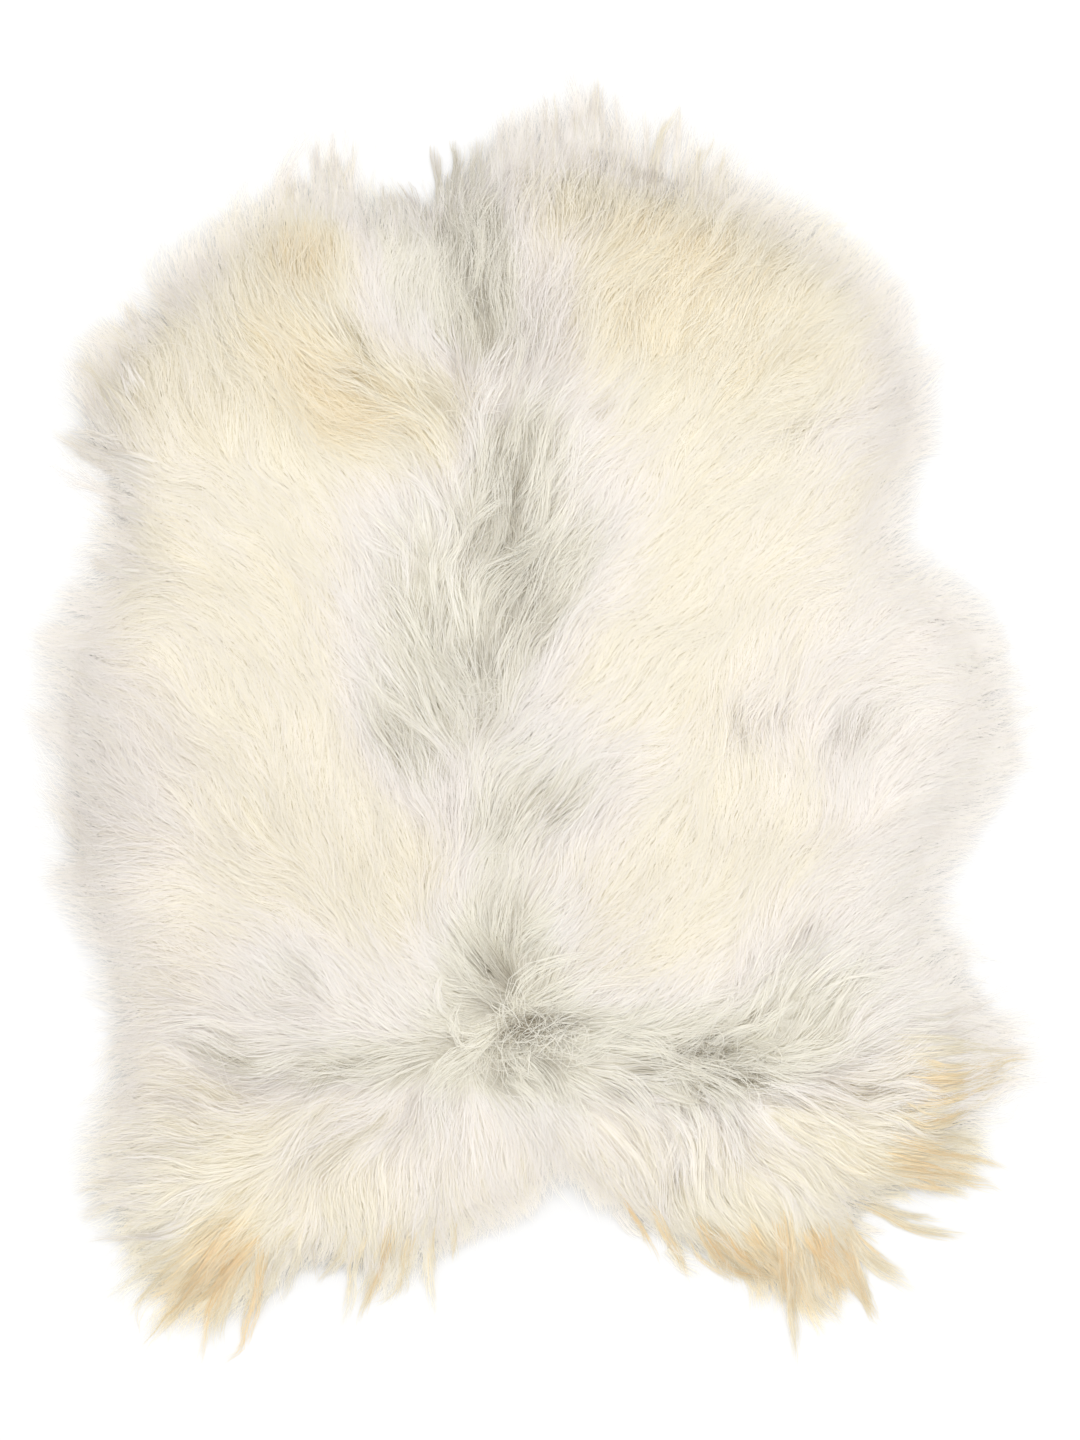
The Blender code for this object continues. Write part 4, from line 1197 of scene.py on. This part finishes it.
floorClearance = 0.0003  # that every strand keeps above the floor
chartHalf = 0.004  # half the width of a strand on its chart


def ribbons(name, groups):
    # One joined mesh of flat tapering strands, each ending in a point.
    allVerts, allLoops, allStarts, allChart = [], [], [], []
    vertTotal, loopTotal = 0, 0
    for group in groups:
        spine = group["points"]
        strands, stations = spine.shape[:2]
        ahead = np.gradient(spine, axis=1)
        ahead /= np.linalg.norm(ahead, axis=2, keepdims=True) + 1e-12
        x, y = spine[..., 0], spine[..., 1]
        up = np.stack([-sample(slopeX, x, y), -sample(slopeY, x, y), np.ones(x.shape)], 2)
        across = np.cross(ahead, up)
        across /= np.linalg.norm(across, axis=2, keepdims=True) + 1e-12
        lifted = np.cross(across, ahead)
        turn = group["roll"][:, None, None]
        half = group["width"][..., None] / 2 * (across * np.cos(turn) + lifted * np.sin(turn))
        left, right = spine - half, spine + half
        for side in (left, right):
            side[..., 2] = np.maximum(side[..., 2], floorClearance)
        pairs = np.stack([left[:, :-1], right[:, :-1]], 2).reshape(strands, -1, 3)
        verts = np.concatenate([pairs, spine[:, -1:]], 1)
        perStrand = verts.shape[1]
        base = vertTotal + np.arange(strands) * perStrand
        rungs = np.array([(2 * k, 2 * k + 1, 2 * k + 3, 2 * k + 2) for k in range(stations - 2)])
        quads = (rungs[None] + base[:, None, None]).reshape(-1, 4)
        ends = np.arange(perStrand - 3, perStrand)[None] + base[:, None]
        allLoops.append(np.concatenate([quads.ravel(), ends.ravel()]))
        startsInGroup = [np.arange(len(quads)) * 4, len(quads) * 4 + np.arange(len(ends)) * 3]
        allStarts.append(loopTotal + np.concatenate(startsInGroup))
        # The chart holds light along and tone up.
        chart = [np.concatenate([np.repeat(group[key][:, :-1], 2, axis=1), group[key][:, -1:]], 1)
                 for key in ("light", "tone")]
        chart[1][:, 0:-1:2] -= chartHalf
        chart[1][:, 1:-1:2] += chartHalf
        allChart.append(np.stack([part.ravel() for part in chart], 1))
        allVerts.append(verts.reshape(-1, 3))
        vertTotal += strands * perStrand
        loopTotal += len(allLoops[-1])
    verts, loops, starts, chartOfVert = map(np.concatenate, (allVerts, allLoops, allStarts, allChart))
    mesh = bpy.data.meshes.new(name)
    mesh.vertices.add(len(verts))
    mesh.vertices.foreach_set("co", verts.ravel())
    mesh.loops.add(len(loops))
    mesh.loops.foreach_set("vertex_index", loops.astype(np.int32))
    mesh.polygons.add(len(starts))
    mesh.polygons.foreach_set("loop_start", starts.astype(np.int32))
    chart = mesh.uv_layers.new(name="OFBake")
    chart.data.foreach_set("uv", chartOfVert[loops].ravel().astype(np.float32))
    mesh.update()
    mesh.validate()
    mesh.polygons.foreach_set("use_smooth", np.ones(len(starts), bool))
    mesh.materials.append(woolMaterial)
    triangles = len(loops) - 2 * len(starts)
    print(name, sum(len(g["roll"]) for g in groups), "strands,", triangles, "triangles")
    return placed(name, mesh)


# One piece of wool to each part of the rug: rows end at these y, and each has its own middle x.
regions = {"rows": (0.205, -0.125), "middles": (-0.03, -0.005, -0.01)}
regionRow = np.digitize(-lockY, [-row for row in regions["rows"]])
lockRegion = regionRow * 2 + (lockX > np.array(regions["middles"])[regionRow])
regionNames = [f"wool{part}{side}" for part in ("Neck", "Back", "Rump") for side in ("Left", "Right")]
woolPieces = []
for index, name in enumerate(regionNames):
    chosen = lockRegion[owner] == index
    woolPieces.append(ribbons(name, [{key: values[chosen] for key, values in mainWool.items()}]))
for name, groups in {
    "rimWisps": [rimWisps, fringeWool],
    "longLocks": [handWool],
    "looseStrands": [tangleWool, looseWool],
}.items():
    woolPieces.append(ribbons(name, groups))


def ringPoints(outline, share, inset=0.0):
    # Inset is a number, or one for each point of the outline.
    reach = np.hypot(outline[:, 0], outline[:, 1])
    return outline * ((reach - inset) * share / reach)[:, None]


def addRing(verts, points, heights):
    start = len(verts)
    verts.extend((x, y, z) for (x, y), z in zip(points, np.broadcast_to(heights, len(points))))
    return list(range(start, len(verts)))


def joinRings(faces, outer, inner, up=True):
    for k in range(len(outer)):
        after = (k + 1) % len(outer)
        face = (outer[k], inner[k], inner[after], outer[after])
        faces.append(face if up else face[::-1])


def closeRing(verts, faces, ring, height, up=True):
    verts.append((0, 0, height))
    for k in range(len(ring)):
        face = (ring[k], len(verts) - 1, ring[(k + 1) % len(ring)])
        faces.append(face if up else face[::-1])


def solidPiece(name, verts, faces, material):
    mesh = bpy.data.meshes.new(name)
    mesh.from_pydata(verts, [], faces)
    mesh.validate()
    mesh.materials.append(material)
    return placed(name, mesh)


# The underwool, a lumpy closed body that the locks stand on, painted dark as the shade between the strands.
skin = {"thickness": 0.002, "rings": 6}
underwool = {
    "rings": 30,
    "belowTop": 0.0075,  # that it lies under the wool's height
    "inset": 0.007,
    "deepestBite": 0.018,
    "lumps": 0.0006,
    "edgeHeight": 0.008,
    "overFloor": 0.0006,
    "overSkin": 0.0004,
    "besideSkin": 0.0012,
    "seed": 3,
    "light": (0.14, 0.34, 0.60),  # painted shade in the gaps between strands: plain light, more at the rear, less where the shade field is deep
}


def buildUnderwool():
    noise = np.random.default_rng(underwool["seed"])
    bitten = underwool["inset"] + np.minimum(biteAt(*denseEdge.T), underwool["deepestBite"])
    verts, faces = [], []

    def topHeights(points):
        x, y = points[:, 0], points[:, 1]
        lump = noise.normal(0, underwool["lumps"], len(x))
        inset = sample(insetField + biteField, x, y)
        below = underwool["belowTop"] * (0.5 + 0.5 * sample(roughField, x, y))
        return np.maximum(sample(topField, x, y) - below * np.clip(inset / 0.02, 0.6, 1) + lump, 0.003)

    foot = addRing(verts, ringPoints(denseEdge, 1, bitten), underwool["overFloor"])
    shoulder = ringPoints(denseEdge, 1, bitten + 0.001)
    outer = addRing(verts, shoulder, np.minimum(topHeights(shoulder), underwool["edgeHeight"]))
    joinRings(faces, foot, outer)
    for k in range(1, underwool["rings"]):
        points = ringPoints(denseEdge, 1 - (k / underwool["rings"]) ** 1.15, bitten + 0.001)
        inner = addRing(verts, points, topHeights(points))
        joinRings(faces, outer, inner)
        outer = inner
    middleTop = float(sample(topField, np.zeros(1), np.zeros(1))[0])
    closeRing(verts, faces, outer, middleTop - underwool["belowTop"])
    # the hollow over the skin
    skinReach = reachOf(hideEdge, *denseEdge.T) + underwool["besideSkin"]
    recess = denseEdge * (skinReach / np.hypot(*denseEdge.T))[:, None]
    low = addRing(verts, recess, underwool["overFloor"])
    high = addRing(verts, recess, skin["thickness"] + underwool["overSkin"])
    joinRings(faces, foot, low, up=False)
    joinRings(faces, low, high, up=False)
    closeRing(verts, faces, high, skin["thickness"] + underwool["overSkin"], up=False)
    piece = solidPiece("underwool", verts, faces, underwoolMaterial())
    for face in piece.data.polygons:
        face.use_smooth = face.normal.z > 0.2
    return piece


def underwoolMaterial():
    material, tree, shader = newMaterial("underwoolShadedFelt")
    fields = []
    for name in ("woolLight", "woolTone"):
        paint = addNode(tree, "Attribute", {})
        paint.attribute_name = name
        fields.append(paint.outputs["Fac"])
    place = addNode(tree, "TexCoord", {}).outputs["Object"]
    grainLook = {"Scale": 220, "Detail": 5, "Roughness": 0.7, "Vector": place}
    grain = addNode(tree, "TexNoise", grainLook).outputs["Fac"]
    # Grain over the underwool's painted shade.
    grainAndShade = addNode(tree, "Math", {0: grain, 1: 0.9, 2: fields[0]})
    grainAndShade.operation = "MULTIPLY_ADD"
    grainAndShade.use_clamp = True
    plug(tree, shader, {
        "Base Color": woolColour(tree, grainAndShade.outputs[0], fields[1]),
        "Normal": bumpNode(tree, grain, 0.6, 0.002),
        "Roughness": 0.95,
    })
    return material


def paintField(mesh, name, values):
    mesh.attributes.new(name, "FLOAT", "POINT").data.foreach_set("value", values.astype(np.float32))


underwoolPiece = buildUnderwool()
feltX, feltY = np.array([v.co.xy[:] for v in underwoolPiece.data.vertices]).T
plain, rear, shaded = underwool["light"]
# Painted shade of the underwool, seen between the strands.
feltLight = plain + rear * sample(rearField, feltX, feltY) - shaded * sample(shadeField, feltX, feltY)
paintField(underwoolPiece.data, "woolLight", feltLight)
paintField(underwoolPiece.data, "woolTone", sample(toneField, feltX, feltY))
print("underwool:", len(underwoolPiece.data.polygons), "faces")


# The tanned skin.
def skinMaterial():
    material, tree, shader = newMaterial("suedeSkin")
    place = addNode(tree, "TexCoord", {}).outputs["Object"]
    broad = addNode(tree, "TexNoise", {"Scale": 9, "Detail": 5, "Vector": place}).outputs["Fac"]
    nap = addNode(tree, "TexNoise", {"Scale": 420, "Detail": 4, "Vector": place}).outputs["Fac"]
    tans = [(0.32, srgb(196, 174, 142)), (0.52, srgb(216, 198, 168)), (0.70, srgb(230, 216, 190))]
    napShade = rampNode(tree, [(0.35, (0.72, 0.70, 0.68)), (0.65, (1, 1, 1))], nap)
    plug(tree, shader, {
        "Base Color": mixNode(tree, 0.5, rampNode(tree, tans, broad), napShade, "MULTIPLY"),
        "Normal": bumpNode(tree, nap, 0.35, 0.0006),
        "Roughness": 0.88,
    })
    return material


def buildSkin():
    verts, faces, rims = [], [], []
    outlines = [ringPoints(hideEdge, 1 - (k / skin["rings"]) ** 1.1) for k in range(skin["rings"])]
    for height, up in ((skin["thickness"], True), (0.0, False)):
        rings = [addRing(verts, points, height) for points in outlines]
        for outer, inner in zip(rings, rings[1:]):
            joinRings(faces, outer, inner, up)
        closeRing(verts, faces, rings[-1], height, up)
        rims.insert(0, rings[0])
    joinRings(faces, *rims)
    return solidPiece("tannedSkin", verts, faces, skinMaterial())


skinPiece = buildSkin()

# Each piece hangs on the root body, and the part's own wool and skin are hidden.
for piece in [underwoolPiece, *woolPieces]:
    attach(piece, "root")
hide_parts("fleece")
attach(skinPiece, "root")
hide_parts("hide")

# Floor, light and camera.
studio = {
    "floor": srgb(217, 217, 217),
    "floorHalf": 6,
    "floorHeight": -0.0006,
    "skyStrength": 1.36,
    "keyStrength": 29.0,
    "keyPlace": (0.4, 1.0, 3.4),
    "keySize": 2.4,
    "cameraHeight": 4.0,
    "focusHeight": 0.03,  # height at which the photo's scale holds
    "sensor": 36,
}
floorMesh = bpy.data.meshes.new("floor")
corners = [(x * studio["floorHalf"], y * studio["floorHalf"], studio["floorHeight"])
           for x, y in ((-1, -1), (1, -1), (1, 1), (-1, 1))]
floorMesh.from_pydata(corners, [], [(0, 1, 2, 3)])
floor = placed("floor", floorMesh)
floorMaterial, floorTree, floorShader = newMaterial("paleFloor")
floorFinish = {"Base Color": (*studio["floor"], 1), "Roughness": 0.9, "Specular IOR Level": 0.0}
plug(floorTree, floorShader, floorFinish)
floorMesh.materials.append(floorMaterial)
floor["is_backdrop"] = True

world = bpy.data.worlds.new("studioLight")
world.use_nodes = True
sky = {"Color": (1, 1, 1, 1), "Strength": studio["skyStrength"]}
plug(world.node_tree, world.node_tree.nodes["Background"], sky)
bpy.context.scene.world = world

key = bpy.data.lights.new("key", "AREA")
key.energy = studio["keyStrength"]
key.shape = "DISK"
key.size = studio["keySize"]
keyLamp = placed("key", key)
keyLamp.location = studio["keyPlace"]
keyLamp.rotation_euler = (-Vector(studio["keyPlace"])).to_track_quat("-Z", "Y").to_euler()

camera = bpy.data.cameras.new("above")
camera.sensor_fit = "VERTICAL"
camera.sensor_height = studio["sensor"]
frameLength = photo["size"][1] * photo["metresPerPixel"]
camera.lens = studio["sensor"] * (studio["cameraHeight"] - studio["focusHeight"]) / frameLength
cameraRig = placed("above", camera)
shiftX, shiftY = fromPhoto(photo["size"][0] / 2, photo["size"][1] / 2)
cameraRig.location = (float(shiftX), float(shiftY), studio["cameraHeight"])
bpy.context.scene.camera = cameraRig

bpy.context.scene.view_settings.view_transform = "Standard"
bpy.context.scene.view_settings.exposure = 0.0
bpy.context.scene.cycles.diffuse_bounces = 6
print("studio ready")

plain = [[[float(x) for x in corner] for corner in box] for box in (cadBox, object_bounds())]
